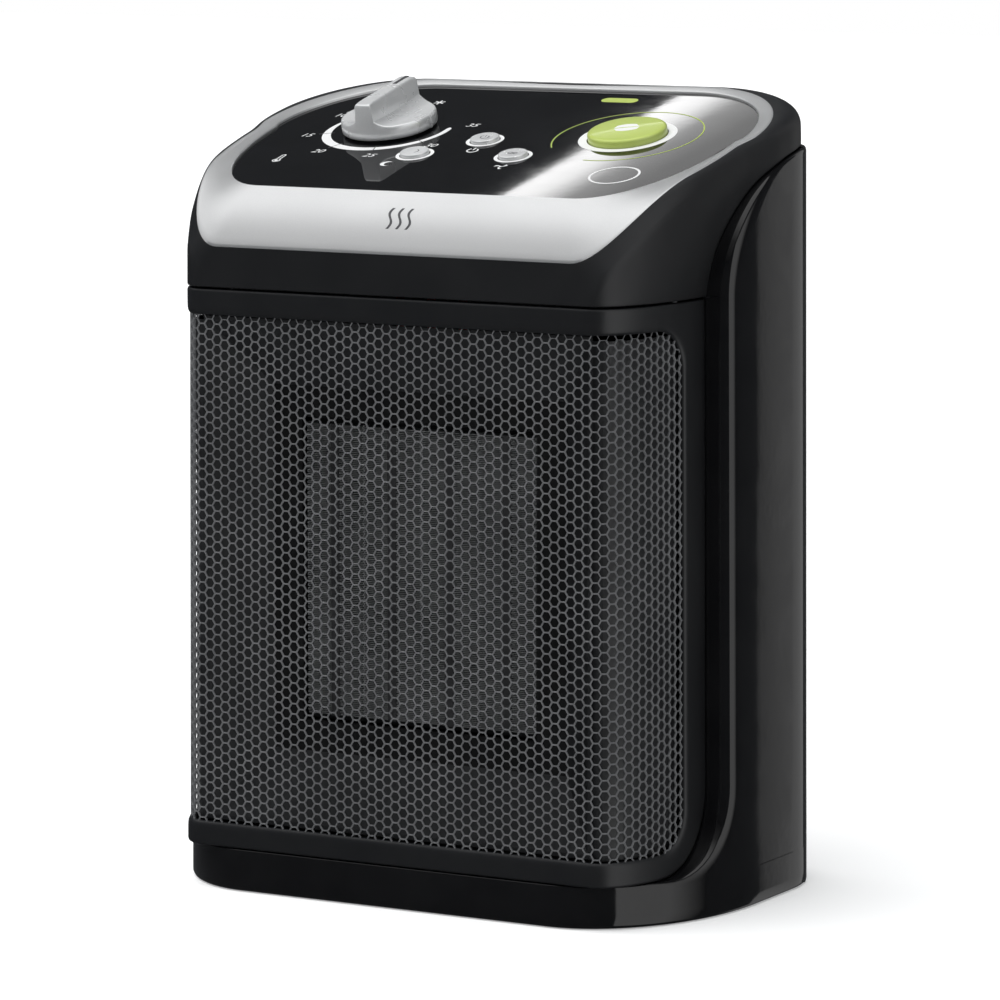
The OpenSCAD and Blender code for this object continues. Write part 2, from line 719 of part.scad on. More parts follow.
module fan_shroud() {
    ring_d = fan_d + 2 * tip_gap;
    y0 = flange_y + flange_t;
    color("#2a2b2e") difference() {
        union() {
            box(-shroud_screw_x, shroud_screw_x, flange_y, y0, 24, deck_z);
            both_sides() for (z = shroud_screw_z) rod_y(10, shroud_screw_x, z, flange_y, y0);
            rod_y(ring_d + 4, 0, fan_z, flange_y, shroud_back);
            intersection() {
                rod_y(ring_d + 4, 0, fan_z, shroud_back, shroud_back + plate_t);
                union() {
                    box(-26, 26, shroud_back, shroud_back + plate_t, fan_z - 26, fan_z + 26);
                    for (a = [30, 150, 270]) translate([0, shroud_back, fan_z]) rotate([0, -a, 0])
                        translate([20, 0, -4]) cube([ring_d / 2, plate_t, 8]);
                }
            }
        }
        rod_y(ring_d, 0, fan_z, flange_y - 1, shroud_back);
        rod_y(bush_d + 4, 0, fan_z, 0, big / 4);
        for (s = [-1, 1]) rod_y(3.2, s * 20, fan_z + s * 20, 0, big / 4);
        both_sides() for (z = shroud_screw_z) rod_y(screw_d + 0.5, shroud_screw_x, z, flange_y - 1, y0 + 1);
    }
}

module shroud_screws() {
    color("#b8bbbf") both_sides() for (z = shroud_screw_z)
        translate([shroud_screw_x, flange_y + flange_t + 2, z]) rotate([-90, 0, 0]) screw(6);
}

module fan_impeller() {
    hub_d = 34;
    y0 = flange_y + flange_t + 2;
    depth = shroud_back - y0 - 3;
    mid = y0 + depth / 2;
    color("#3d4045") difference() {
        union() {
            rod_y(hub_d, 0, fan_z, y0, y0 + depth);
            intersection() {
                difference() {
                    rod_y(fan_d, 0, fan_z, y0 + 1, y0 + depth - 1);
                    rod_y(hub_d - 3, 0, fan_z, 0, big / 4);
                }
                translate([0, mid, fan_z]) for (i = [0:blades - 1]) rotate([0, i * 360 / blades, 0])
                    translate([hub_d / 2 - 2, 0, 0]) rotate([35, 0, 0]) translate([0, -1, -14])
                        cube([fan_d / 2, 2, 28]);
            }
        }
        difference() {
            rod_y(hub_d - 4, 0, fan_z, y0 + 3, big / 4);
            rod_y(12, 0, fan_z, y0, y0 + depth - 2);
        }
        rod_y(motor_shaft_d, 0, fan_z, y0 - 1, big / 4);
    }
}

module motor_shaft() {
    color("#b8bbbf") rod_y(motor_shaft_d, 0, fan_z, flange_y + flange_t + 2, stator_y + stator_t + 9);
}

module motor_rotor() {
    color("#8d9196") difference() {
        rod_y(22, 0, fan_z, stator_y - 0.5, stator_y + stator_t + 0.5);
        rod_y(motor_shaft_d, 0, fan_z, 0, big / 4);
    }
}

module motor_stator() {
    color("#74777c") difference() {
        box(-25, 25, stator_y, stator_y + stator_t, fan_z - 26, fan_z + 44);
        rod_y(22.8, 0, fan_z, 0, big / 4);
        box(-15, 15, 0, big / 4, fan_z + 17, fan_z + 34);
        for (s = [-1, 1]) rod_y(3.2, s * 20, fan_z + s * 20, 0, big / 4);
    }
}

module motor_coil() {
    color("#a5622d") difference() {
        box(-13, 13, stator_y - 5, stator_y + stator_t + 5, fan_z + 25, fan_z + 50);
        box(-14, 14, stator_y, stator_y + stator_t, fan_z + 34, fan_z + 44);
    }
}

module motor_brackets() {
    back = stator_y + stator_t;
    color("#a9acb0") {
        motor_bracket(bracket_y, bracket_y + 2, stator_y);
        motor_bracket(back + 3, back + 5, back);
    }
}

// Bar across the motor that holds a bush, with legs down to the stator at y = face
module motor_bracket(y0, y1, face) {
    difference() {
        union() {
            box(-25, 25, y0, y1, fan_z - 7, fan_z + 7);
            for (s = [-1, 1]) rod_y(8, s * 20, fan_z + s * 20, min(y0, face), max(y1, face));
            for (s = [-1, 1])
                box(s * 20 - 4, s * 20 + 4, y0, y1, fan_z + min(0, s * 20), fan_z + max(0, s * 20));
        }
        rod_y(bush_d, 0, fan_z, 0, big / 4);
        for (s = [-1, 1]) rod_y(3.2, s * 20, fan_z + s * 20, 0, big / 4);
    }
}

module motor_bushes() {
    back = stator_y + stator_t;
    color("#c8a24a") for (y = [bracket_y - 1, back + 1]) difference() {
        rod_y(bush_d, 0, fan_z, y, y + 5);
        rod_y(motor_shaft_d + 2 * run_gap, 0, fan_z, 0, big / 4);
    }
}

module motor_screws() {
    back = stator_y + stator_t + 5;
    color("#b8bbbf") for (s = [-1, 1]) translate([s * 20, back + 2, fan_z + s * 20])
        rotate([-90, 0, 0]) screw(back + 2 - shroud_back);
}

module motor_leads() {
    color("#26292d") for (x = [-5, 5]) translate([x, stator_y + 7, fan_z + 50])
        cylinder(d = 2.4, h = deck_z + 8 - fan_z - 50);
}

module terminal_block() {
    color("#e3e0d6") difference() {
        box(30, 62, hd - 36, hd - 20, base_top, base_top + 16);
        for (x = [36, 46, 56]) translate([x, hd - 28, base_top + 8]) cylinder(d = 4, h = 20);
    }
}

module tilt_switch() {
    color("#e3e0d6") {
        box(-66, -44, 10, 24, base_top, base_top + 5);
        translate([-55, 17, base_top + 5]) cylinder(d = 12, h = 14);
    }
}

front_shell();
back_shell();
base_plate();
head_cover();
bezel_ring();
control_panel();
front_frame();
grille_mesh();
inner_deck();
rubber_feet();
base_screws();
back_screws();
deck_screws();
cord_gland();
thermostat_knob();
knob_pointer();
knob_shaft();
silence_button();
standby_button();
turbo_button();
eco_button();
thermostat_pot();
tact_switches();
circuit_board();
board_screws();
relays();
transformer();
capacitor();
room_sensor();
heater_frame();
ceramic_bars();
cooling_fins();
heater_terminals();
heater_leads();
thermal_cutout();
cutout_bracket();
outlet_duct();
fan_shroud();
shroud_screws();
fan_impeller();
motor_shaft();
motor_rotor();
motor_stator();
motor_coil();
motor_brackets();
motor_bushes();
motor_screws();
motor_leads();
terminal_block();
tilt_switch();
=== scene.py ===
import math
import bmesh
import bpy
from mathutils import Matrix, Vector


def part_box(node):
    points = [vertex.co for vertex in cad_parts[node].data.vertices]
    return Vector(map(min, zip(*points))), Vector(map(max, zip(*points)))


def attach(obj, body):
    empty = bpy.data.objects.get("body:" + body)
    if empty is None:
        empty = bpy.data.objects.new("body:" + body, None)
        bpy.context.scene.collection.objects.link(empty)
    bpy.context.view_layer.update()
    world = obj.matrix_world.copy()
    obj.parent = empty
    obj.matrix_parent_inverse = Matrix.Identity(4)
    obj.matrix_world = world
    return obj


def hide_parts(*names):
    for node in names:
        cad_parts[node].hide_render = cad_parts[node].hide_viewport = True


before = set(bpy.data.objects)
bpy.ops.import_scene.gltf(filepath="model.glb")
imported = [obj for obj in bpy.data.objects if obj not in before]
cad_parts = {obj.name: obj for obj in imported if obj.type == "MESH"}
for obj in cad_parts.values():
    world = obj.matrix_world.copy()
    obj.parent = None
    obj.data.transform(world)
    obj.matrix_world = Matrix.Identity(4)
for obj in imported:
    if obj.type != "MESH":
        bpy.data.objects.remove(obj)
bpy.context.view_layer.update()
mm = 0.001
print("frame loaded:", len(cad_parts), "nodes")

# camera first: the product view, a long lens from the front right
cameraSetup = {"place": (0.8761, -1.5504, 0.3657), "azimuth": 29.34, "down": 7.55, "lens": 190.29}


def makeCamera(setup):
    data = bpy.data.cameras.new("productCamera")
    data.sensor_width = 36
    data.lens = setup["lens"]
    data.clip_start, data.clip_end = 0.05, 30
    camera = bpy.data.objects.new("productCamera", data)
    bpy.context.scene.collection.objects.link(camera)
    camera.location = setup["place"]
    camera.rotation_euler = (math.radians(90 - setup["down"]), 0, math.radians(setup["azimuth"]))
    bpy.context.scene.camera = camera


makeCamera(cameraSetup)
bpy.context.scene.view_settings.view_transform = "Standard"


# Shared shader groups: they give out masks, values and normals only
def newGroup(name, inputs, outputs):
    tree = bpy.data.node_groups.new(name, "ShaderNodeTree")
    for label, kind, value in inputs:
        socket = tree.interface.new_socket(label, in_out="INPUT", socket_type=kind)
        if value is not None:
            socket.default_value = value
    for label, kind in outputs:
        tree.interface.new_socket(label, in_out="OUTPUT", socket_type=kind)
    return tree, tree.nodes.new("NodeGroupInput"), tree.nodes.new("NodeGroupOutput")


def addNode(tree, kind, settings=None, **values):
    node = tree.nodes.new(kind)
    for key, value in (settings or {}).items():
        setattr(node, key, value)
    for key, value in values.items():
        node.inputs[key].default_value = value
    return node


def makeGrainGroup():  # moulded spark texture: two sizes of grain in one bump
    tree, gin, gout = newGroup("mouldedGrain", [("Grain Scale", "NodeSocketFloat", 1500.0),
        ("Strength", "NodeSocketFloat", 0.3), ("Depth", "NodeSocketFloat", 0.00005)],
        [("Normal", "NodeSocketVector"), ("Mask", "NodeSocketFloat")])
    place = addNode(tree, "ShaderNodeTexCoord")
    fine = addNode(tree, "ShaderNodeTexNoise", Detail=3.0, Roughness=0.6)
    cells = addNode(tree, "ShaderNodeTexVoronoi", {"feature": "SMOOTH_F1"}, Smoothness=0.6)
    blend = addNode(tree, "ShaderNodeMath", {"operation": "MULTIPLY_ADD"})
    bump = addNode(tree, "ShaderNodeBump")
    links = tree.links
    links.new(place.outputs["Object"], fine.inputs["Vector"])
    links.new(place.outputs["Object"], cells.inputs["Vector"])
    links.new(gin.outputs["Grain Scale"], fine.inputs["Scale"])
    links.new(gin.outputs["Grain Scale"], cells.inputs["Scale"])
    links.new(fine.outputs["Fac"], blend.inputs[0])
    blend.inputs[1].default_value = 0.5
    links.new(cells.outputs["Distance"], blend.inputs[2])
    links.new(blend.outputs[0], bump.inputs["Height"])
    links.new(gin.outputs["Strength"], bump.inputs["Strength"])
    links.new(gin.outputs["Depth"], bump.inputs["Distance"])
    links.new(bump.outputs["Normal"], gout.inputs["Normal"])
    links.new(blend.outputs[0], gout.inputs["Mask"])
    return tree


def makeHandlingGroup():  # faint smudges and dust that break up a gloss
    tree, gin, gout = newGroup("handlingMarks", [("Smudge Scale", "NodeSocketFloat", 30.0),
        ("Low", "NodeSocketFloat", 0.1), ("High", "NodeSocketFloat", 0.2)],
        [("Roughness", "NodeSocketFloat"), ("Mask", "NodeSocketFloat")])
    place = addNode(tree, "ShaderNodeTexCoord")
    smudge = addNode(tree, "ShaderNodeTexNoise", Detail=5.0, Roughness=0.65, Distortion=0.6)
    spread = addNode(tree, "ShaderNodeMapRange")
    spread.inputs["From Min"].default_value = 0.35
    spread.inputs["From Max"].default_value = 0.75
    links = tree.links
    links.new(place.outputs["Object"], smudge.inputs["Vector"])
    links.new(gin.outputs["Smudge Scale"], smudge.inputs["Scale"])
    links.new(smudge.outputs["Fac"], spread.inputs["Value"])
    links.new(gin.outputs["Low"], spread.inputs["To Min"])
    links.new(gin.outputs["High"], spread.inputs["To Max"])
    links.new(spread.outputs["Result"], gout.inputs["Roughness"])
    links.new(smudge.outputs["Fac"], gout.inputs["Mask"])
    return tree


def makeBrushedGroup():  # fine lines along one axis, for drawn and rolled metal
    tree, gin, gout = newGroup("brushedLines", [("Stretch", "NodeSocketVector", (60.0, 60.0, 3000.0)),
        ("Strength", "NodeSocketFloat", 0.2)], [("Normal", "NodeSocketVector"),
            ("Mask", "NodeSocketFloat")])
    place = addNode(tree, "ShaderNodeTexCoord")
    stretch = addNode(tree, "ShaderNodeVectorMath", {"operation": "MULTIPLY"})
    lines = addNode(tree, "ShaderNodeTexNoise", Scale=1.0, Detail=4.0, Roughness=0.7)
    bump = addNode(tree, "ShaderNodeBump", Distance=0.00003)
    links = tree.links
    links.new(place.outputs["Object"], stretch.inputs[0])
    links.new(gin.outputs["Stretch"], stretch.inputs[1])
    links.new(stretch.outputs[0], lines.inputs["Vector"])
    links.new(lines.outputs["Fac"], bump.inputs["Height"])
    links.new(gin.outputs["Strength"], bump.inputs["Strength"])
    links.new(bump.outputs["Normal"], gout.inputs["Normal"])
    links.new(lines.outputs["Fac"], gout.inputs["Mask"])
    return tree


grainGroup = makeGrainGroup()
handlingGroup = makeHandlingGroup()
brushedGroup = makeBrushedGroup()


def startMaterial(name, base, metallic=0.0, roughness=0.5, coat=0.0, coatRoughness=0.05, ior=1.5):
    material = bpy.data.materials.new(name)
    material.use_nodes = True
    tree = material.node_tree
    shader = tree.nodes["Principled BSDF"]
    shader.inputs["Base Color"].default_value = (*base, 1)
    shader.inputs["Metallic"].default_value = metallic
    shader.inputs["Roughness"].default_value = roughness
    shader.inputs["Coat Weight"].default_value = coat
    shader.inputs["Coat Roughness"].default_value = coatRoughness
    shader.inputs["IOR"].default_value = ior
    return material, tree, shader


def tint(tree, mask, low, high, target):  # colour that moves a little between two shades
    ramp = tree.nodes.new("ShaderNodeValToRGB")
    ramp.color_ramp.elements[0].color = (*low, 1)
    ramp.color_ramp.elements[1].color = (*high, 1)
    ramp.color_ramp.elements[0].position = 0.3
    ramp.color_ramp.elements[1].position = 0.75
    tree.links.new(mask, ramp.inputs["Fac"])
    tree.links.new(ramp.outputs["Color"], target)


def mouldedPlastic(name, low, high, roughness, grain=1500.0, strength=0.3, spread=0.08, ior=1.5):
    material, tree, shader = startMaterial(name, low, roughness=roughness, ior=ior)
    bump = addNode(tree, "ShaderNodeGroup", {"node_tree": grainGroup})
    bump.inputs["Grain Scale"].default_value = grain
    bump.inputs["Strength"].default_value = strength
    marks = addNode(tree, "ShaderNodeGroup", {"node_tree": handlingGroup})
    marks.inputs["Low"].default_value = roughness
    marks.inputs["High"].default_value = roughness + spread
    tint(tree, marks.outputs["Mask"], low, high, shader.inputs["Base Color"])
    tree.links.new(bump.outputs["Normal"], shader.inputs["Normal"])
    tree.links.new(marks.outputs["Roughness"], shader.inputs["Roughness"])
    return material


def glossPlastic(name, low, high, roughness, spread, wave=0.04, ior=1.5, coat=0.0):
    material, tree, shader = startMaterial(name, low, roughness=roughness, coat=coat, ior=ior)
    marks = addNode(tree, "ShaderNodeGroup", {"node_tree": handlingGroup})
    marks.inputs["Smudge Scale"].default_value = 45.0
    marks.inputs["Low"].default_value = roughness
    marks.inputs["High"].default_value = roughness + spread
    ripple = addNode(tree, "ShaderNodeGroup", {"node_tree": grainGroup})  # slight orange peel
    ripple.inputs["Grain Scale"].default_value = 420.0
    ripple.inputs["Strength"].default_value = wave
    tint(tree, marks.outputs["Mask"], low, high, shader.inputs["Base Color"])
    tree.links.new(marks.outputs["Roughness"], shader.inputs["Roughness"])
    tree.links.new(ripple.outputs["Normal"], shader.inputs["Normal"])
    return material


def brushedMetal(name, low, high, roughness, stretch=(60.0, 60.0, 3000.0), strength=0.2):
    material, tree, shader = startMaterial(name, low, metallic=1.0, roughness=roughness)
    lines = addNode(tree, "ShaderNodeGroup", {"node_tree": brushedGroup})
    lines.inputs["Stretch"].default_value = stretch
    lines.inputs["Strength"].default_value = strength
    marks = addNode(tree, "ShaderNodeGroup", {"node_tree": handlingGroup})
    marks.inputs["Low"].default_value = roughness
    marks.inputs["High"].default_value = roughness + 0.12
    tint(tree, lines.outputs["Mask"], low, high, shader.inputs["Base Color"])
    tree.links.new(lines.outputs["Normal"], shader.inputs["Normal"])
    tree.links.new(marks.outputs["Roughness"], shader.inputs["Roughness"])
    return material


# metallic paint: fine flakes under a soft clear coat
def satinPaint(name, low, high, roughness, metallic=0.82):
    material, tree, shader = startMaterial(name, low, metallic=metallic, roughness=roughness, coat=0.2,
        coatRoughness=0.25)
    flakes = addNode(tree, "ShaderNodeGroup", {"node_tree": grainGroup})
    flakes.inputs["Grain Scale"].default_value = 6000.0
    flakes.inputs["Strength"].default_value = 0.10
    marks = addNode(tree, "ShaderNodeGroup", {"node_tree": handlingGroup})
    marks.inputs["Low"].default_value = roughness
    marks.inputs["High"].default_value = roughness + 0.06
    tint(tree, flakes.outputs["Mask"], low, high, shader.inputs["Base Color"])
    tree.links.new(flakes.outputs["Normal"], shader.inputs["Normal"])
    tree.links.new(marks.outputs["Roughness"], shader.inputs["Roughness"])
    return material


finishes = {
    "glossBlack": glossPlastic("glossBlack", (0.003, 0.003, 0.0035), (0.006, 0.006, 0.0065), 0.05,
        0.07),
    "panelBlack": glossPlastic("panelBlack", (0.003, 0.003, 0.0035), (0.005, 0.005, 0.006), 0.015, 0.02,
        0.006),
    "sparkBlack": mouldedPlastic("sparkBlack", (0.0075, 0.008, 0.0095), (0.010, 0.0105, 0.012), 0.46,
        2200.0, 0.22),
    "frameBlack": mouldedPlastic("frameBlack", (0.0075, 0.008, 0.0095), (0.010, 0.0105, 0.012), 0.40,
        2200.0, 0.18),
    "backBlack": mouldedPlastic("backBlack", (0.010, 0.010, 0.011), (0.014, 0.014, 0.016), 0.48, 1400.0,
        0.35),
    "innerBlack": mouldedPlastic("innerBlack", (0.010, 0.010, 0.011), (0.016, 0.016, 0.017), 0.55,
        1200.0, 0.3),
    "satinSilver": satinPaint("satinSilver", (0.66, 0.665, 0.67), (0.74, 0.745, 0.75), 0.42),
    "knobSilver": satinPaint("knobSilver", (0.70, 0.705, 0.71), (0.80, 0.805, 0.81), 0.26, 0.45),
    "whitePrint": mouldedPlastic("whitePrint", (0.80, 0.80, 0.80), (0.86, 0.86, 0.86), 0.35, 5000.0,
        0.05),
    "greyPrint": mouldedPlastic("greyPrint", (0.045, 0.045, 0.05), (0.06, 0.06, 0.065), 0.35, 5000.0,
        0.05),
    "limePrint": mouldedPlastic("limePrint", (0.40, 0.50, 0.10), (0.46, 0.56, 0.12), 0.35, 5000.0,
        0.05),
    "limeCap": glossPlastic("limeCap", (0.44, 0.54, 0.12), (0.50, 0.60, 0.15), 0.28, 0.10, 0.08,
        coat=0.3),
    "footRubber": mouldedPlastic("footRubber", (0.012, 0.012, 0.012), (0.02, 0.02, 0.02), 0.75, 1800.0,
        0.5),
    "zincSteel": brushedMetal("zincSteel", (0.50, 0.51, 0.53), (0.66, 0.67, 0.68), 0.30,
        (900.0, 900.0, 900.0), 0.1),
    "pressedSteel": brushedMetal("pressedSteel", (0.34, 0.35, 0.36), (0.50, 0.51, 0.52), 0.34),
    "laminatedSteel": brushedMetal("laminatedSteel", (0.16, 0.16, 0.17), (0.34, 0.34, 0.35), 0.42,
        (40.0, 2600.0, 40.0), 0.6),
    "brass": brushedMetal("brass", (0.60, 0.42, 0.16), (0.74, 0.55, 0.24), 0.28, (900.0, 900.0, 900.0),
        0.1),
    "copperWinding": brushedMetal("copperWinding", (0.42, 0.14, 0.05), (0.66, 0.27, 0.10), 0.30,
        (60.0, 60.0, 2600.0), 0.8),
    "ductMetal": mouldedPlastic("ductMetal", (0.016, 0.0165, 0.018), (0.026, 0.027, 0.029), 0.38, 900.0,
        0.2),
    "finAluminium": mouldedPlastic("finAluminium", (0.20, 0.203, 0.207), (0.30, 0.303, 0.307), 0.34,
        900.0, 0.25),
    "meshCoat": mouldedPlastic("meshCoat", (0.10, 0.102, 0.106), (0.15, 0.152, 0.157), 0.30, 3000.0,
        0.2),
    "darkSteel": brushedMetal("darkSteel", (0.05, 0.05, 0.05), (0.10, 0.10, 0.10), 0.4,
        (900.0, 900.0, 900.0), 0.1),
    "ceramic": mouldedPlastic("ceramic", (0.020, 0.020, 0.022), (0.035, 0.035, 0.037), 0.6, 2500.0,
        0.5),
    "heatPlastic": mouldedPlastic("heatPlastic", (0.006, 0.006, 0.0065), (0.010, 0.010, 0.011), 0.55,
        1600.0, 0.4),
    "boardGreen": glossPlastic("boardGreen", (0.012, 0.075, 0.022), (0.02, 0.11, 0.035), 0.3, 0.1),
    "relayBlue": mouldedPlastic("relayBlue", (0.02, 0.06, 0.22), (0.03, 0.08, 0.28), 0.4),
    "capYellow": mouldedPlastic("capYellow", (0.55, 0.42, 0.10), (0.65, 0.5, 0.14), 0.4),
    "leadRed": mouldedPlastic("leadRed", (0.38, 0.025, 0.018), (0.46, 0.04, 0.03), 0.45),
    "leadBlack": mouldedPlastic("leadBlack", (0.015, 0.015, 0.016), (0.022, 0.022, 0.024), 0.5),
    "ivoryPlastic": mouldedPlastic("ivoryPlastic", (0.62, 0.59, 0.52), (0.70, 0.67, 0.60), 0.45),
    "fanGrey": mouldedPlastic("fanGrey", (0.05, 0.053, 0.058), (0.065, 0.068, 0.074), 0.42, 1500.0,
        0.25),
    "sensorBrown": mouldedPlastic("sensorBrown", (0.05, 0.025, 0.015), (0.07, 0.035, 0.02), 0.4),
}
print("materials made:", len(finishes))

cadFinish = {
    "base_plate": "backBlack", "control_panel": "panelBlack", "inner_deck": "innerBlack",
    "rubber_feet": "footRubber", "base_screws": "zincSteel", "back_screws": "zincSteel",
    "deck_screws": "zincSteel", "cord_gland": "footRubber", "knob_shaft": "zincSteel",
    "thermostat_pot": "leadBlack", "tact_switches": "leadBlack", "circuit_board": "boardGreen",
    "board_screws": "zincSteel", "relays": "relayBlue", "transformer": "laminatedSteel",
    "capacitor": "capYellow", "room_sensor": "sensorBrown", "heater_frame": "heatPlastic",
    "ceramic_bars": "ceramic", "heater_terminals": "darkSteel", "heater_leads": "leadRed",
    "thermal_cutout": "ivoryPlastic", "cutout_bracket": "pressedSteel", "outlet_duct": "ductMetal",
    "fan_shroud": "innerBlack", "shroud_screws": "zincSteel", "fan_impeller": "fanGrey",
    "motor_shaft": "zincSteel", "motor_rotor": "laminatedSteel", "motor_stator": "laminatedSteel",
    "motor_coil": "copperWinding", "motor_brackets": "pressedSteel", "motor_bushes": "brass",
    "motor_screws": "zincSteel", "motor_leads": "leadBlack", "terminal_block": "ivoryPlastic",
    "tilt_switch": "ivoryPlastic",
}
for nodeName, finish in cadFinish.items():
    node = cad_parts[nodeName]
    for materialSlot in node.material_slots:
        materialSlot.material = finishes[finish]


# Plan outlines: front corner centre and radii, back corner centre and radii, in millimetres
plans = {
    "body": ((59, 0), (44, 66), (66, 29), (37, 37)),
    "head": ((75.5, -16), (17, 50), (65.0, 27), (37, 37)),
    "crown": ((70, 0), (29.5, 66), (60, 22), (42, 42)),
    "lip": ((68.5, 0), (26.5, 65.5), (53.5, 12), (43.5, 48)),
    "panel": ((61, 8), (30, 59), (51.5, 12), (40.5, 45)),
}
heightSize = {"low": 0.3, "bandTop": 14.5, "seam": 204, "sideTop": 250.5, "rimY": -16, "backY": 40,
    "swoopDepth": 62, "bayRadius": 28, "panelY": -53, "panelZ": 236.5, "tilt": 15, "chin": 16.8,
    "draft": 0.022}
hs = heightSize


def ease(t):
    return (1 - math.cos(math.pi * max(0.0, min(1.0, t)))) / 2


def planPoint(plan, t):
    (cx, cy), (rx, ry), (bx, by), (sx, sy) = plans[plan]
    if t <= 1:
        return cx * t, cy - ry
    if t <= 2:
        a = math.radians(90 * (t - 1))
        return cx + rx * math.sin(a), cy - ry * math.cos(a)
    if t <= 3:
        f = t - 2
        return cx + rx + (bx + sx - cx - rx) * ease(f), cy + (by - cy) * f
    if t <= 4:
        a = math.radians(90 * (t - 3))
        return bx + sx * math.cos(a), by + sy * math.sin(a)
    return bx * (5 - t), by + sy


def planNormal(plan, t):
    x0, y0 = planPoint(plan, max(0, t - 0.004))
    x1, y1 = planPoint(plan, min(5, t + 0.004))
    n = Vector((y1 - y0, x0 - x1))
    return n.normalized()


def tAtY(plan, y):  # place along the outline where it passes a given depth, between the two corners
    low, high = 1.0, 4.0
    for _ in range(40):
        mid = (low + high) / 2
        if planPoint(plan, mid)[1] < y:
            low = mid
        else:
            high = mid
    return (low + high) / 2


def widthAt(plan, y):
    return planPoint(plan, tAtY(plan, y))[0]


def drafted(x, y, z):  # the casing narrows a little towards the top
    return Vector((x * (1 - hs["draft"] * z / 250), y, z))


def onPlan(plan, t, z, inset=0.0):
    x, y = planPoint(plan, t)
    n = planNormal(plan, t)
    return drafted(x - n.x * inset, y - n.y * inset, z)


def planeZ(y):
    return hs["panelZ"] + (y - hs["panelY"]) * math.tan(math.radians(hs["tilt"]))


def lipZ(y):
    f = max(0.0, min(1.0, (hs["rimY"] - 11 - y) / 39))
    return planeZ(y) + 1.5 - hs["chin"] * f * f


def swoopZ(y):
    t = max(0.0, min(1.0, (y - hs["rimY"]) / hs["swoopDepth"]))
    return hs["seam"] + (hs["sideTop"] - hs["seam"]) * math.sqrt(max(0.0, 1 - (1 - t) ** 2))


# Mesh helpers
def keepMesh(name, mesh, finish, sharp=35):
    mesh.materials.clear()
    mesh.materials.append(finishes[finish])
    for face in mesh.polygons:
        face.use_smooth = True
    mesh.set_sharp_from_angle(angle=math.radians(sharp))
    piece = bpy.data.objects.new(name, mesh)
    bpy.context.scene.collection.objects.link(piece)
    return piece


def skin(name, grids, finish, sharp=35, mirror=False, merge=0.004, flip=False):

    work = bmesh.new()
    for rows, closed in grids:
        sides = (1, -1) if mirror else (1,)
        for side in sides:
            made = [[work.verts.new(((p.x * side) * mm, p.y * mm,
                p.z * mm)) for p in row] for row in rows]
            for a, b in zip(made, made[1:]):
                count = len(a)
                for k in range(count if closed else count - 1):
                    quad = [a[k], a[(k + 1) % count], b[(k + 1) % count], b[k]]
                    try:
                        work.faces.new(quad)
                    except ValueError:
                        pass
    bmesh.ops.remove_doubles(work, verts=work.verts, dist=merge * mm)
    bmesh.ops.dissolve_degenerate(work, edges=work.edges, dist=0.0005 * mm)
    bmesh.ops.recalc_face_normals(work, faces=work.faces)
    if flip:
        bmesh.ops.reverse_faces(work, faces=work.faces)
    mesh = bpy.data.meshes.new(name)
    work.to_mesh(mesh)
    work.free()
    return keepMesh(name, mesh, finish, sharp)


# turns an open skin so that the face nearest the probe looks outward
def faceOut(piece, probe, outward):
    best = min(piece.data.polygons, key=lambda f: (f.center - Vector(probe) * mm).length)
    if best.normal.dot(Vector(outward)) < 0:
        piece.data.flip_normals()


def bezier(a, b, c, steps):
    return [a * (1 - t) ** 2 + b * 2 * t * (1 - t) + c * t * t for t in (k / steps for k in range(steps + 1))]


def finishPiece(piece, body, replaced=()):
    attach(piece, body)
    if replaced:
        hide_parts(*replaced)


def applyModifiers(piece, finish, sharp=35):
    graph = bpy.context.evaluated_depsgraph_get()
    mesh = bpy.data.meshes.new_from_object(piece.evaluated_get(graph))
    name = piece.name
    bpy.data.objects.remove(piece)
    return keepMesh(name, mesh, finish, sharp)


# Glossy casing: a low band in front, tall sides with a rolled front edge
shellSize = {"rollShare": 0.45, "rollMost": 5.0, "rollLeast": 0.8, "wall": 2.4, "rollSteps": 6,
    "seamGap": 0.25}


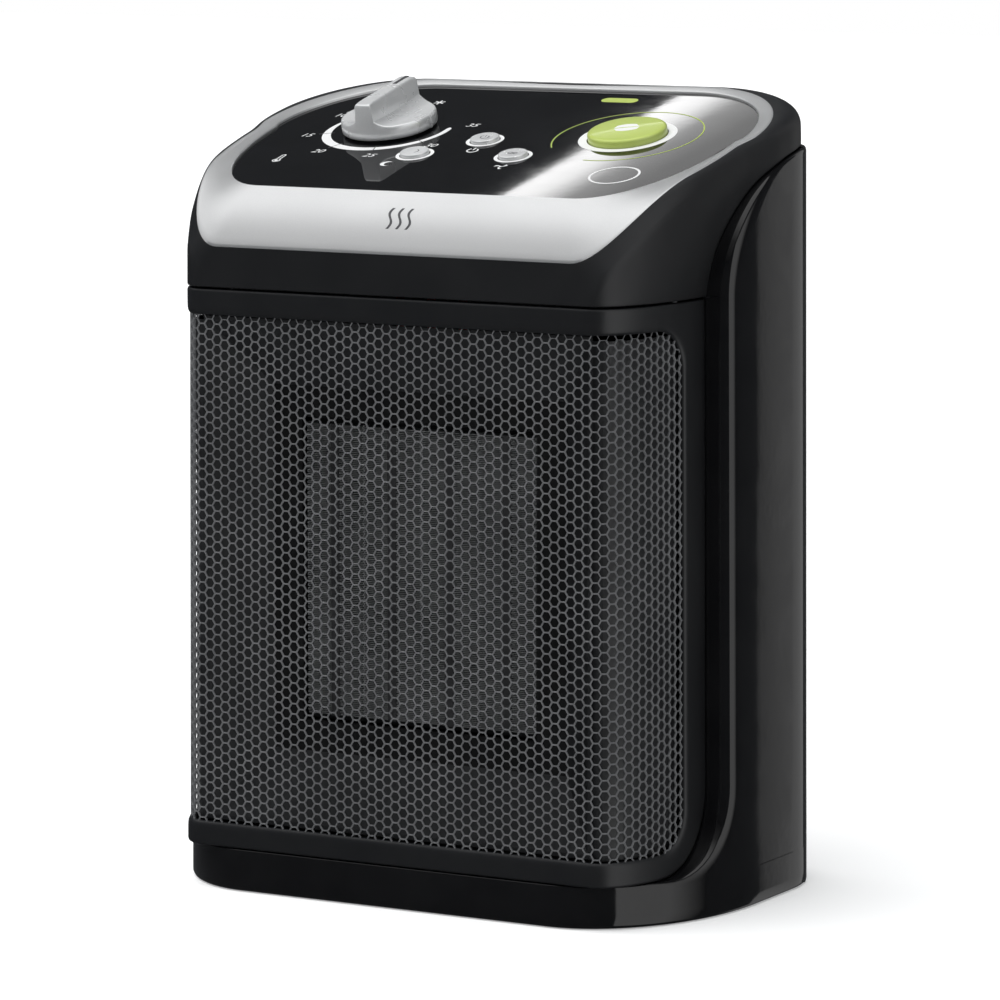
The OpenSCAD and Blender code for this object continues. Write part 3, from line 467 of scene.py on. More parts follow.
def makeFrontShell(size):
    rimY, seam, top = hs["rimY"], hs["seam"], hs["sideTop"]
    edge = []  # the casing's free edge as depth, height and the way into the casing
    for k in range(15):
        a = math.radians(90 * k / 14)
        edge.append((rimY - hs["bayRadius"] * (1 - math.sin(a)),
            hs["bandTop"] + hs["bayRadius"] * (1 - math.cos(a)),
            math.sin(a), -math.cos(a)))
    for k in range(1, 19):
        edge.append((rimY,
            hs["bandTop"] + hs["bayRadius"] + (seam - hs["bandTop"] - hs["bayRadius"]) * k / 18, 1, 0))
    rise, run = top - seam, hs["swoopDepth"]
    last = math.acos(1 - (hs["backY"] - size["seamGap"] - rimY) / run)
    for k in range(1, 31):
        a = last * k / 30
        n = Vector((rise * math.cos(a), -run * math.sin(a))).normalized()
        edge.append((rimY + run * (1 - math.cos(a)), seam + rise * math.sin(a), n.x, n.y))
    backEnd = hs["backY"] - size["seamGap"]

    def roll(y):
        width = widthAt("body", y) - widthAt("head", y)
        return max(size["rollLeast"], min(size["rollMost"], width * size["rollShare"]))

    def sideRow(y0, z):
        row = []
        for k in range(21):
            y = y0 + (backEnd - y0) * k / 20
            row.append(drafted(widthAt("body", y), y, z))
        row.append(drafted(widthAt("body", backEnd) - 0.5, backEnd + 0.01, z))
        row.append(drafted(widthAt("body", backEnd) - size["wall"], backEnd + 0.02, z))
        return row

    startY = edge[0][0]
    firstRoll = roll(startY)
    lowRows = [(hs["low"], 1.6), (hs["low"], 1.0), (hs["low"] + 0.35, 0.35), (hs["low"] + 1.1, 0.0),
        (hs["low"] + 4, 0.0), (hs["low"] + 7.5, 0.0)]
    sideRows = []
    for z, inset in lowRows:
        row = sideRow(startY, z)
        sideRows.append([Vector((p.x - inset, p.y, p.z)) for p in row])
    rolled = [[] for _ in range(size["rollSteps"] + 2)]
    for y, z, ny, nz in edge:
        r = roll(y)
        y0, z0 = min(y + r * ny, backEnd - 0.02), z + r * nz
        sideRows.append(sideRow(y0, z0))
        start = drafted(widthAt("body", y0), y0, z0)
        corner = drafted(widthAt("body", min(y, backEnd)), y, z)
        inner = drafted(widthAt("body", min(y, backEnd)) - r, y, z)
        for k, p in enumerate(bezier(start, corner, inner, size["rollSteps"])):
            rolled[k].append(p)
        rolled[-1].append(drafted(min(widthAt("head", y) - 0.8, inner.x - 0.8), y, z))
    bandCorner = tAtY("body", startY)
    places = [k / 8 for k in range(8)] + [1 + (bandCorner - 1) * k / 20 for k in range(21)]
    bandRows = [[onPlan("body", t, z, inset) for t in places] for z, inset in lowRows]
    bandRoll = [[] for _ in range(size["rollSteps"] + 2)]
    for t in places:
        y = planPoint("body", t)[1]
        r = size["rollLeast"] if y < -58 else max(size["rollLeast"], roll(y))
        r = size["rollLeast"] + (firstRoll - size["rollLeast"]) * ease((y + 62) / (startY + 62))
        start = onPlan("body", t, hs["bandTop"] - r)
        corner = onPlan("body", t, hs["bandTop"])
        inner = onPlan("body", t, hs["bandTop"], r)
        for k, p in enumerate(bezier(start, corner, inner, size["rollSteps"])):
            bandRoll[k].append(p)
        bandRoll[-1].append(onPlan("body", t, hs["bandTop"], max(3.5, r + 2)))
    bandRows.append(bandRoll[0])
    return skin("front_casing", [(sideRows, False), (rolled, False), (bandRows, False),
        (bandRoll, False)],
        "glossBlack", mirror=True, sharp=50)


frontCasing = makeFrontShell(shellSize)
faceOut(frontCasing, (101, 10, 120), (1, 0, 0))
finishPiece(frontCasing, "heater_body", ["front_shell"])
print("front casing made")


# Head: side walls up to a soft crease, then a band up to the bezel
headSize = {"chinDrop": 8.2, "gap": 0.35, "crease": 6.0, "soft": 2.4, "returnIn": 2.6}


def crowned(t, z, inset=0.0):  # the head's wall: from the seam's outline out to the crown's
    x, y = planPoint("head", t)
    n = planNormal("head", t)
    if 1 < t < 4:
        rise = max(0.0, min(1.0, (z - hs["seam"]) / (hs["sideTop"] - hs["seam"])))
        x += max(0.0, widthAt("crown", y) - x) * rise
    return drafted(x - n.x * inset, y - n.y * inset, z)


def lipBeside(t):  # the bezel's outer edge level with a place on the head's outline
    if t <= 1 or t >= 4:
        x, y = planPoint("lip", t)
    else:
        front, back = planPoint("lip", 1)[1], planPoint("lip", 4)[1]
        headFront, headBack = planPoint("head", 1)[1], planPoint("head", 4)[1]
        share = (planPoint("head", t)[1] - headFront) / (headBack - headFront)
        x, y = planPoint("lip", tAtY("lip", front + (back - front) * share))
    return drafted(x, y, lipZ(y))


def makeHead(size):
    rimY = hs["rimY"]
    places = [k / 10 for k in range(10)] + [1 + k / 26 for k in range(27)]
    for k in range(1, 26):
        y = rimY + hs["swoopDepth"] * (1 - math.cos(math.radians(72.2 * k / 25)))
        places.append(tAtY("head", y))
    places += [3 + k / 24 for k in range(1, 25)] + [4 + k / 10 for k in range(1, 11)]
    columns = []
    for t in places:
        y = planPoint("head", t)[1]
        low = (hs["seam"] if y <= rimY + 0.001 else swoopZ(y)) + size["gap"]
        lipHere = lipBeside(t)
        dip = size["crease"] + size["chinDrop"] * (1 - ease((t - 0.95) / 0.28))
        creaseZ = max(low + 0.4, lipHere.z - dip)
        wallTop = max(low + 0.2, creaseZ - size["soft"])
        column = [crowned(t, low - 0.02, size["returnIn"]), crowned(t, low, 0.7),
            crowned(t, low + 0.12, 0.2)]
        for k in range(1, 10):
            column.append(crowned(t, low + 0.5 + (wallTop - low - 0.3) * (k - 1) / 8))
        crease = crowned(t, creaseZ)
        up = lipHere - crease
        full = ease((t - 1.25) / 0.75)  # the shoulder is straight in front and rounder at the sides
        peak = Vector((crease.x, crease.y, crease.z + (up.z + 1.0) * full))
        for k in range(1, 13):
            f = k / 12
            line = crease + up * f
            curved = crease * (1 - f) ** 2 + peak * (2 * f * (1 - f)) + lipHere * f ** 2
            column.append(line * (1 - full) + curved * full)
        column.append(lipHere + Vector((0, 0, -0.1)) - (lipHere - Vector((0, lipHere.y * 0.6,
            lipHere.z))).normalized() * 1.6)
        columns.append(column)
    rows = [list(row) for row in zip(*columns)]
    return skin("head_casing", [(rows, False)], "sparkBlack", mirror=True, sharp=60)


headCasing = makeHead(headSize)
faceOut(headCasing, (0, -66, 210), (0, -1, 0))
finishPiece(headCasing, "heater_body", ["head_cover"])


# Bezel: a wide chin in front, narrow at the sides and back
bezelSize = {"lift": 0.8, "bulgeFront": 1.3, "bulgeSide": 0.5, "steps": 12}


def makeBezel(size):
    places = [k / 10 for k in range(10)] + [1 + k / 30 for k in range(31)] + [2 + k / 14 for k in range(1, 15)]
    places += [3 + k / 26 for k in range(1, 27)] + [4 + k / 10 for k in range(1, 11)]
    columns = []
    for t in places:
        lx, ly = planPoint("lip", t)
        px, py = planPoint("panel", t)
        outer = drafted(lx, ly, lipZ(ly))
        inner = drafted(px, py, planeZ(py) + size["lift"])
        across = inner - outer
        along = planNormal("lip", t)
        up = Vector((along.x, along.y, 0)) * 0.6 + Vector((0, 0, 1)) * 0.8
        front = 1 - ease((t - 1.0) / 0.8)
        bulge = size["bulgeSide"] + (size["bulgeFront"] - size["bulgeSide"]) * front
        ground = outer + Vector((-along.x * 1.4, -along.y * 1.4, -1.6))
        column = [ground, outer + Vector((-along.x * 0.1, -along.y * 0.1, -0.45)),
            outer + Vector((along.x * 0.12, along.y * 0.12, 0))]
        for k in range(size["steps"] + 1):
            f = k / size["steps"]
            body = outer + across * (0.03 + 0.94 * f)
            column.append(body + up * (bulge * math.sin(math.pi * (0.06 + 0.94 * f)) + 0.12))
        column.append(inner + Vector((0, 0, -0.05)))
        column.append(inner + Vector((-across.x, -across.y, 0)).normalized() * -0.15 + Vector((0, 0,
            -0.45)))
        column.append(Vector((inner.x, inner.y, inner.z - 2.2)))
        columns.append(column)
    rows = [list(row) for row in zip(*columns)]
    return skin("bezel", [(rows, False)], "satinSilver", mirror=True, sharp=50)


bezel = makeBezel(bezelSize)
faceOut(bezel, (0, -60, 228), (0, -1, 1))
finishPiece(bezel, "heater_body", ["bezel_ring"])
print("head and bezel made")


# Front frame: a strip between the window and the casing, laid along the head's outline
class AlongOutline:  # turns distance along an outline from the front centre into places
    def __init__(self, plan, count=500, last=3.2):
        self.plan = plan
        self.table = [(0.0, 0.0)]
        x0, y0 = planPoint(plan, 0)
        for k in range(1, count + 1):
            t = last * k / count
            x, y = planPoint(plan, t)
            self.table.append((self.table[-1][0] + math.hypot(x - x0, y - y0), t))
            x0, y0 = x, y

    def tAt(self, length):
        low, high = 0, len(self.table) - 1
        while high - low > 1:
            mid = (low + high) // 2
            if self.table[mid][0] < length:
                low = mid
            else:
                high = mid
        (a, ta), (b, tb) = self.table[low], self.table[high]
        return ta + (tb - ta) * (length - a) / max(1e-9, b - a)

    def lengthAt(self, t):
        return min(self.table, key=lambda row: abs(row[1] - t))[0]

    def place(self, length, z, inset=0.0):
        return onPlan(self.plan, self.tAt(length), z, inset)


around = AlongOutline("head")
frameSize = {"gap": 0.3, "low": 23.0, "top": 195.0, "back": -30.0, "radius": 13.0, "lipDepth": 1.7,
    "knee": 5, "trim": 4, "reach": 3.2}


def loopCorner(cx, cz, r, start, end, steps):
    return [(cx + r * math.cos(math.radians(start + (end - start) * k / steps)),
        cz + r * math.sin(math.radians(start + (end - start) * k / steps))) for k in range(steps + 1)]


def makeFrame(size):
    windowEnd = around.lengthAt(tAtY("head", size["back"]))
    frameEnd = around.lengthAt(2.0) - size["gap"]
    r, bay = size["radius"], hs["bayRadius"]
    low, top = size["low"], size["top"]
    knee, trim, reach = size["knee"], size["trim"], size["reach"]
    outerLow, outerTop = hs["bandTop"] + size["gap"], hs["seam"] - size["gap"]
    window, border = [], []
    for k in range(30):  # bottom, from the centre outwards
        window.append(((windowEnd - r) * k / 30, low))
        border.append(((frameEnd - bay) * k / 30, outerLow))
    window += loopCorner(windowEnd - r, low + r, r, -90, 0, 16)
    border += loopCorner(frameEnd - bay, outerLow + bay, bay, -90, 0, 16)
    for k in range(1, 24):
        f = k / 24
        window.append((windowEnd, low + r + (top - r - low - r) * f))
        border.append((frameEnd, outerLow + bay + (outerTop - knee - outerLow - bay) * f))
    window += loopCorner(windowEnd - r, top - r, r, 0, 90, 16)
    cornerBorder = [(frameEnd, outerTop - knee + knee * k / 8) for k in range(8)]
    cornerBorder += [(frameEnd - (bay - trim) * k / 8, outerTop) for k in range(9)]
    border += cornerBorder
    for k in range(1, 31):
        window.append(((windowEnd - r) * (1 - k / 30), top))
        border.append(((frameEnd - bay + trim) * (1 - k / 30), outerTop))
    profile = [(0.0, size["lipDepth"]), (0.0, 1.3), (0.12, 0.95), (0.5, 0.5), (1.2, 0.18), (2.2, 0.05),
        (reach, 0.0)]
    rows = []
    for along, inset in profile:
        row = []
        for (u0, z0), (u1, z1) in zip(window, border):
            d = Vector((u1 - u0, z1 - z0)).normalized()
            row.append(around.place(max(0, u0 + d.x * along), z0 + d.y * along, inset))
        rows.append(row)
    for f in (0.5, 0.8):
        row = []
        for (u0, z0), (u1, z1) in zip(window, border):
            d = Vector((u1 - u0, z1 - z0))
            share = reach / d.length
            g = share + (1 - share) * f
            row.append(around.place(max(0, u0 + d.x * g), z0 + d.y * g, 0.0))
        rows.append(row)
    for back, inset in ((0.9, 0.0), (0.35, 0.12), (0.0, 0.5), (0.0, 2.4)):
        row = []
        for (u0, z0), (u1, z1) in zip(window, border):
            d = Vector((u1 - u0, z1 - z0)).normalized()
            row.append(around.place(max(0, u1 - d.x * back), z1 - d.y * back, inset))
        rows.append(row)
    return skin("front_frame_moulding", [(rows, False)], "frameBlack", mirror=True, sharp=60)


frontFrame = makeFrame(frameSize)
faceOut(frontFrame, (0, -66, 199), (0, -1, 0))
finishPiece(frontFrame, "heater_body", ["front_frame"])
print("front frame made")


# Geometry nodes helpers
def startTree(name, inputs):
    tree = bpy.data.node_groups.new(name, "GeometryNodeTree")
    tree.interface.new_socket("Geometry", in_out="INPUT", socket_type="NodeSocketGeometry")
    for label, kind, value in inputs:
        socket = tree.interface.new_socket(label, in_out="INPUT", socket_type=kind)
        if value is not None:
            socket.default_value = value
    tree.interface.new_socket("Geometry", in_out="OUTPUT", socket_type="NodeSocketGeometry")
    return tree, tree.nodes.new("NodeGroupInput"), tree.nodes.new("NodeGroupOutput")


def geo(tree, kind, settings=None, **links):
    node = tree.nodes.new(kind)
    for key, value in (settings or {}).items():
        setattr(node, key, value)
    for key, value in links.items():
        wire(tree, node, key.replace("_", " "), value)
    return node


def wire(tree, node, socket, value):
    target = node.inputs[socket]
    if hasattr(value, "is_output"):
        tree.links.new(value, target)
    else:
        target.default_value = value


def maths(tree, operation, a, b=0.0, c=0.0):
    node = tree.nodes.new("ShaderNodeMath")
    node.operation = operation
    for index, value in enumerate((a, b, c)):
        if hasattr(value, "is_output"):
            tree.links.new(value, node.inputs[index])
        else:
            node.inputs[index].default_value = value
    return node.outputs[0]


def vectorOf(tree, x=0.0, y=0.0, z=0.0):
    return geo(tree, "ShaderNodeCombineXYZ", X=x, Y=y, Z=z).outputs[0]


def endTree(tree, gout, geometry, finish):
    real = geo(tree, "GeometryNodeRealizeInstances", Geometry=geometry)
    shade = geo(tree, "GeometryNodeSetMaterial", Geometry=real.outputs[0], Material=finishes[finish])
    tree.links.new(shade.outputs[0], gout.inputs[0])


def runTree(name, tree, values, finish, start=None, sharp=35):
    mesh = start or bpy.data.meshes.new(name + "_start")
    holder = bpy.data.objects.new(name, mesh)
    bpy.context.scene.collection.objects.link(holder)
    modifier = holder.modifiers.new("nodes", "NODES")
    modifier.node_group = tree
    for item in tree.interface.items_tree:
        if item.item_type == "SOCKET" and item.in_out == "INPUT" and item.name in values:
            modifier[item.identifier] = values[item.name]
    graph = bpy.context.evaluated_depsgraph_get()
    made = bpy.data.meshes.new_from_object(holder.evaluated_get(graph))
    holder.modifiers.clear()
    bpy.data.objects.remove(holder)
    return keepMesh(name, made, finish, sharp)


# Grille: hexagonal mesh, a flat lattice bent along the head's outline
grilleSize = {"pitch": 3.5, "wire": 0.42, "thick": 0.7, "low": 20.5, "top": 197.5, "inset": 0.9}


def makeHexCell(size):  # one hexagonal ring: a front face, a rounded inner edge and a wall behind it
    work = bmesh.new()
    outerR = size["pitch"] / math.sqrt(3)
    rings = []
    for shrink, depth in ((0.0, 0.10), (0.12, 0.0), (size["wire"] / 2, 0.08),
            (size["wire"] / 2, size["thick"])):
        r = outerR - shrink / math.cos(math.radians(30))
        rings.append([work.verts.new((r * math.cos(math.radians(60 * k)) * mm,
            r * math.sin(math.radians(60 * k)) * mm, depth * mm))
            for k in range(6)])
    for a, b in zip(rings, rings[1:]):
        for k in range(6):
            work.faces.new((a[k], a[(k + 1) % 6], b[(k + 1) % 6], b[k]))
    mesh = bpy.data.meshes.new("hexCell")
    work.to_mesh(mesh)
    work.free()
    cell = bpy.data.objects.new("hexCell", mesh)
    bpy.context.scene.collection.objects.link(cell)
    return cell


def makeOutlineCurve(name, plan, inset, last):
    curve = bpy.data.curves.new(name, "CURVE")
    curve.dimensions = "3D"
    points = []
    count = 120
    for k in range(-count, count + 1):
        t = last * abs(k) / count
        x, y = planPoint(plan, t)
        n = planNormal(plan, t)
        side = 1 if k >= 0 else -1
        points.append(((x - n.x * inset) * side * mm, (y - n.y * inset) * mm, 0))
    spline = curve.splines.new("POLY")
    spline.points.add(len(points) - 1)
    for point, place in zip(spline.points, points):
        point.co = (*place, 1)
    holder = bpy.data.objects.new(name, curve)
    bpy.context.scene.collection.objects.link(holder)
    return holder, sum(math.dist(a, b) for a, b in zip(points, points[1:]))


def makeGrille(size):
    outline, length = makeOutlineCurve("grilleOutline", "head", size["inset"], tAtY("head", -26))
    cell = makeHexCell(size)
    tree, gin, gout = startTree("hexGrille", [("Cell", "NodeSocketObject", None),
        ("Outline", "NodeSocketObject", None),
        ("Column Step", "NodeSocketFloat", 0.003), ("Row Step", "NodeSocketFloat", 0.0035),
        ("Columns", "NodeSocketInt", 60), ("Rows", "NodeSocketInt", 40),
        ("Low", "NodeSocketFloat", 0.02),
        ("Draft", "NodeSocketFloat", 0.1)])
    columns, rows = gin.outputs["Columns"], gin.outputs["Rows"]
    stepX, stepY = gin.outputs["Column Step"], gin.outputs["Row Step"]
    points = geo(tree, "GeometryNodePoints", Count=maths(tree, "MULTIPLY", columns, rows))
    index = geo(tree, "GeometryNodeInputIndex").outputs[0]
    column = maths(tree, "MODULO", index, columns)
    row = maths(tree, "FLOOR", maths(tree, "DIVIDE", index, columns))
    odd = maths(tree, "MODULO", column, 2.0)
    along = maths(tree, "MULTIPLY", column, stepX)
    height = maths(tree, "ADD", maths(tree, "MULTIPLY", maths(tree, "MULTIPLY_ADD", odd, 0.5, row),
        stepY), gin.outputs["Low"])
    laid = geo(tree, "GeometryNodeSetPosition", Geometry=points.outputs[0],
        Position=vectorOf(tree, along, height, 0.0))
    shape = geo(tree, "GeometryNodeObjectInfo", Object=gin.outputs["Cell"])
    placed = geo(tree, "GeometryNodeInstanceOnPoints", Points=laid.outputs[0],
        Instance=shape.outputs["Geometry"])
    real = geo(tree, "GeometryNodeRealizeInstances", Geometry=placed.outputs[0])
    joined = geo(tree, "GeometryNodeMergeByDistance", Geometry=real.outputs[0], Distance=0.00002)
    path = geo(tree, "GeometryNodeObjectInfo", Object=gin.outputs["Outline"])
    here = geo(tree, "ShaderNodeSeparateXYZ", Vector=geo(tree, "GeometryNodeInputPosition").outputs[0])
    sample = geo(tree, "GeometryNodeSampleCurve", {"mode": "LENGTH", "use_all_curves": True},
        Curves=path.outputs["Geometry"], Length=here.outputs[0])
    across = geo(tree, "ShaderNodeVectorMath", {"operation": "CROSS_PRODUCT"})
    tree.links.new(sample.outputs["Tangent"], across.inputs[0])
    across.inputs[1].default_value = (0, 0, 1)
    inward = geo(tree, "ShaderNodeVectorMath", {"operation": "SCALE"})
    tree.links.new(across.outputs[0], inward.inputs[0])
    tree.links.new(maths(tree, "MULTIPLY", here.outputs[2], -1.0), inward.inputs["Scale"])
    shifted = geo(tree, "ShaderNodeVectorMath", {"operation": "ADD"})
    tree.links.new(sample.outputs["Position"], shifted.inputs[0])
    tree.links.new(inward.outputs[0], shifted.inputs[1])
    flat = geo(tree, "ShaderNodeSeparateXYZ", Vector=shifted.outputs[0])
    narrow = maths(tree, "MULTIPLY_ADD", maths(tree, "MULTIPLY", here.outputs[1], gin.outputs["Draft"]),
        -1.0, 1.0)
    bent = geo(tree, "GeometryNodeSetPosition", Geometry=joined.outputs[0],
        Position=vectorOf(tree, maths(tree, "MULTIPLY", flat.outputs[0], narrow), flat.outputs[1],
            here.outputs[1]))
    endTree(tree, gout, bent.outputs[0], "meshCoat")
    stepAlong = size["pitch"] * math.sqrt(3) / 2 * mm
    values = {"Cell": cell, "Outline": outline, "Column Step": stepAlong,
        "Row Step": size["pitch"] * mm,
        "Columns": int(length / stepAlong), "Rows": int((size["top"] - size["low"]) / size["pitch"]),
        "Low": size["low"] * mm, "Draft": hs["draft"] / 250 / mm}
    grille = runTree("hex_mesh_grille", tree, values, "meshCoat", sharp=50)
    bpy.data.objects.remove(outline)
    bpy.data.objects.remove(cell)
    return grille


grille = makeGrille(grilleSize)
finishPiece(grille, "heater_body", ["grille_mesh"])
print("grille made:", len(grille.data.polygons), "faces")


def roundedBox(cx, cz, w, h, r, steps=6):
    outline = []
    for sx, sz, a0 in ((1, 1, 0), (-1, 1, 90), (-1, -1, 180), (1, -1, 270)):
        for k in range(steps + 1):
            a = math.radians(a0 + 90 * k / steps)
            outline.append((cx + sx * (w / 2 - r) + r * math.cos(a),
                cz + sz * (h / 2 - r) + r * math.sin(a)))
    return outline


# Heating core: corrugated fins between the bars
coreLow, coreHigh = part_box("cooling_fins")
finSize = {"pitch": 1.25, "sheet": 0.16, "bars": 4, "barWidth": 3.2, "divider": 0.35}


def makeFins(size):
    step = (coreHigh.x - coreLow.x + 0.0002) / size["bars"]
    packWidth = (step - size["barWidth"] * mm - size["divider"] * mm) / 2
    tree, gin, gout = startTree("corrugatedFins", [("Pitch", "NodeSocketFloat", 0.001),
        ("Folds", "NodeSocketInt", 10), ("Pack Width", "NodeSocketFloat", 0.01),
        ("Depth", "NodeSocketFloat", 0.01),
        ("Bars", "NodeSocketInt", 4), ("Bar Step", "NodeSocketFloat", 0.02),
        ("Bar Width", "NodeSocketFloat", 0.003),
        ("Corner", "NodeSocketVector", (0, 0, 0))])
    folds = gin.outputs["Folds"]
    line = geo(tree, "GeometryNodeMeshLine", {"mode": "OFFSET"},
        Count=maths(tree, "MULTIPLY_ADD", folds, 4.0, 1.0),
        Offset=(0, 0, 0))
    index = geo(tree, "GeometryNodeInputIndex").outputs[0]
    phase = maths(tree, "MODULO", index, 4.0)
    out = maths(tree, "MULTIPLY", maths(tree, "GREATER_THAN", phase, 0.5),
        maths(tree, "LESS_THAN", phase, 2.5))
    rank = maths(tree, "FLOOR", maths(tree, "DIVIDE", index, 4.0))
    late = maths(tree, "MULTIPLY", maths(tree, "GREATER_THAN", phase, 1.5), 0.5)
    height = maths(tree, "MULTIPLY", maths(tree, "ADD", rank, late), gin.outputs["Pitch"])
    across = maths(tree, "MULTIPLY", out, gin.outputs["Pack Width"])
    zigzag = geo(tree, "GeometryNodeSetPosition", Geometry=line.outputs[0],
        Position=vectorOf(tree, across, 0.0, height))
    folded = geo(tree, "GeometryNodeExtrudeMesh", {"mode": "EDGES"}, Mesh=zigzag.outputs[0],
        Offset=vectorOf(tree, 0.0, gin.outputs["Depth"], 0.0))
    packs = geo(tree, "GeometryNodePoints", Count=maths(tree, "MULTIPLY", gin.outputs["Bars"], 2.0))
    number = geo(tree, "GeometryNodeInputIndex").outputs[0]
    side = maths(tree, "MODULO", number, 2.0)
    bar = maths(tree, "FLOOR", maths(tree, "DIVIDE", number, 2.0))
    centre = maths(tree, "MULTIPLY", maths(tree, "ADD", bar, 0.5), gin.outputs["Bar Step"])
    halfBar = maths(tree, "MULTIPLY", gin.outputs["Bar Width"], 0.5)
    left = maths(tree, "SUBTRACT", maths(tree, "SUBTRACT", centre, halfBar), gin.outputs["Pack Width"])
    right = maths(tree, "ADD", centre, halfBar)
    start = maths(tree, "ADD", left, maths(tree, "MULTIPLY", side,
        maths(tree, "SUBTRACT", right, left)))
    corner = geo(tree, "ShaderNodeVectorMath", {"operation": "ADD"})
    tree.links.new(vectorOf(tree, start, 0.0, 0.0), corner.inputs[0])
    tree.links.new(gin.outputs["Corner"], corner.inputs[1])
    spots = geo(tree, "GeometryNodeSetPosition", Geometry=packs.outputs[0], Position=corner.outputs[0])
    placed = geo(tree, "GeometryNodeInstanceOnPoints", Points=spots.outputs[0],
        Instance=folded.outputs[0])
    endTree(tree, gout, placed.outputs[0], "finAluminium")
    values = {"Pitch": size["pitch"] * mm,
        "Folds": int((coreHigh.z - coreLow.z) / (size["pitch"] * mm)), "Pack Width": packWidth,
        "Depth": coreHigh.y - coreLow.y - 0.0006, "Bars": size["bars"], "Bar Step": step,
        "Bar Width": size["barWidth"] * mm, "Corner": (coreLow.x - 0.0001, coreLow.y + 0.0003,
            coreLow.z + 0.0004)}
    made = runTree("corrugated_fins", tree, values, "finAluminium", sharp=30)
    thick = made.modifiers.new("sheet", "SOLIDIFY")
    thick.thickness = size["sheet"] * mm
    thick.offset = 0
    return applyModifiers(made, "finAluminium", 30)


fins = makeFins(finSize)
finishPiece(fins, "heater_body", ["cooling_fins"])
print("fins made:", len(fins.data.polygons), "faces")


# Places on the sloping panel: x across, v up the slope, w out of the face
tiltAngle = math.radians(hs["tilt"])


def onPanel(x, v, w=0.0):
    return Vector((x, hs["panelY"] + v * math.cos(tiltAngle) - w * math.sin(tiltAngle),
        hs["panelZ"] + v * math.sin(tiltAngle) + w * math.cos(tiltAngle)))


def turned(profile, centre, finish, name, steps=64, sharp=30):  # a turned piece standing on the panel
    rows = []
    for r, w in profile:
        rows.append([onPanel(centre[0] + r * math.cos(2 * math.pi * k / steps),
            centre[1] + r * math.sin(2 * math.pi * k / steps), w) for k in range(steps)])
    return skin(name, [(rows, True)], finish, sharp=sharp, merge=0.0005)


# Thermostat knob: a disc scooped out on both sides of a flat grip
knobSize = {"at": (-45, 67), "radius": 16.5, "low": 0.8, "rim": 5.6, "gripHalf": 3.0, "gripTop": 14.0,
    "scoop": 6.5, "dish": 0.9, "edge": 0.7}


def knobHeight(size, x, v):
    away = abs(x) - size["gripHalf"]
    rim = size["rim"] - size["dish"] * (1 - (x * x + v * v) / size["radius"] ** 2)
    nearEnd = max(0.0, abs(v) - 12.5) / 4.0
    top = size["gripTop"] - 0.5 * nearEnd ** 2
    if away <= -size["edge"]:
        return top
    if away < 0:
        f = 1 + away / size["edge"]
        return top - size["edge"] * (1 - math.sqrt(max(0, 1 - f * f)))
    wallLow = rim + 2.2
    if away < 0.45:
        return (top - size["edge"]) + (wallLow - top + size["edge"]) * (away / 0.45)
    f = min(1.0, (away - 0.45) / size["scoop"])
    return rim + 2.2 * (1 - f) ** 2.6


def makeKnob(size):
    gripHalf, radius = size["gripHalf"], size["radius"]
    xs = [0, 1.0, 1.8, 2.3]
    xs += [gripHalf - size["edge"] * math.cos(math.radians(90 * k / 5)) for k in range(1, 5)]
    xs += [gripHalf, gripHalf + 0.15, gripHalf + 0.3, gripHalf + 0.45, gripHalf + 0.8, gripHalf + 1.3,
        gripHalf + 2.0]
    xs += [6.2, 7.5, 9.0, 10.6, 12.0, 13.3, 14.4, 15.2, 15.8, 16.2]
    cx, cv = size["at"]
    xs = [-x for x in reversed(xs[1:])] + xs
    grid = []
    for x in xs:
        reach = math.sqrt(max(0.0, (radius - 0.7) ** 2 - x * x))
        reach = max(reach, 0.02)
        column = []
        for k in range(41):
            s = math.sin(math.radians(-90 + 180 * k / 40))
            v = reach * s
            column.append((x, v, knobHeight(size, x, v)))
        grid.append(column)
    rows = [[onPanel(cx + x, cv + v, w) for x, v, w in column] for column in grid]
    rim = [grid[k][40] for k in range(len(grid))] + [column for column in grid[-1][::-1]][1:-1]
    rim += [grid[k][0] for k in range(len(grid) - 1, -1, -1)]
    ring = []
    for x, v, w in rim:
        if not ring or math.dist(ring[-1][:2], (x, v)) > 0.05:
            ring.append((x, v, w))
    walls = []
    for out, drop in ((0.0, 0.0), (0.28, 0.1), (0.55, 0.35), (0.7, 0.8)):
        walls.append([onPanel(cx + x * (1 + out / math.hypot(x, v)),
            cv + v * (1 + out / math.hypot(x, v)), w - drop)
            for x, v, w in ring])
    for w in (3.4, 1.6, 1.1, 0.8):
        inset = {3.4: 0.7, 1.6: 0.75, 1.1: 0.6, 0.8: 0.3}[w]
        walls.append([onPanel(cx + x * (1 + inset / math.hypot(x, v)),
            cv + v * (1 + inset / math.hypot(x, v)), w)
            for x, v, _ in ring])
    walls.append([onPanel(cx + x * 0.6, cv + v * 0.6, size["low"]) for x, v, _ in ring])
    return skin("knob_grip_and_disc", [(rows, False), (walls, True)], "knobSilver", sharp=42,
        merge=0.02)


knob = makeKnob(knobSize)
faceOut(knob, onPanel(-45, 67, 14), (0, -0.26, 0.97))
finishPiece(knob, "thermostat_knob", ["thermostat_knob"])


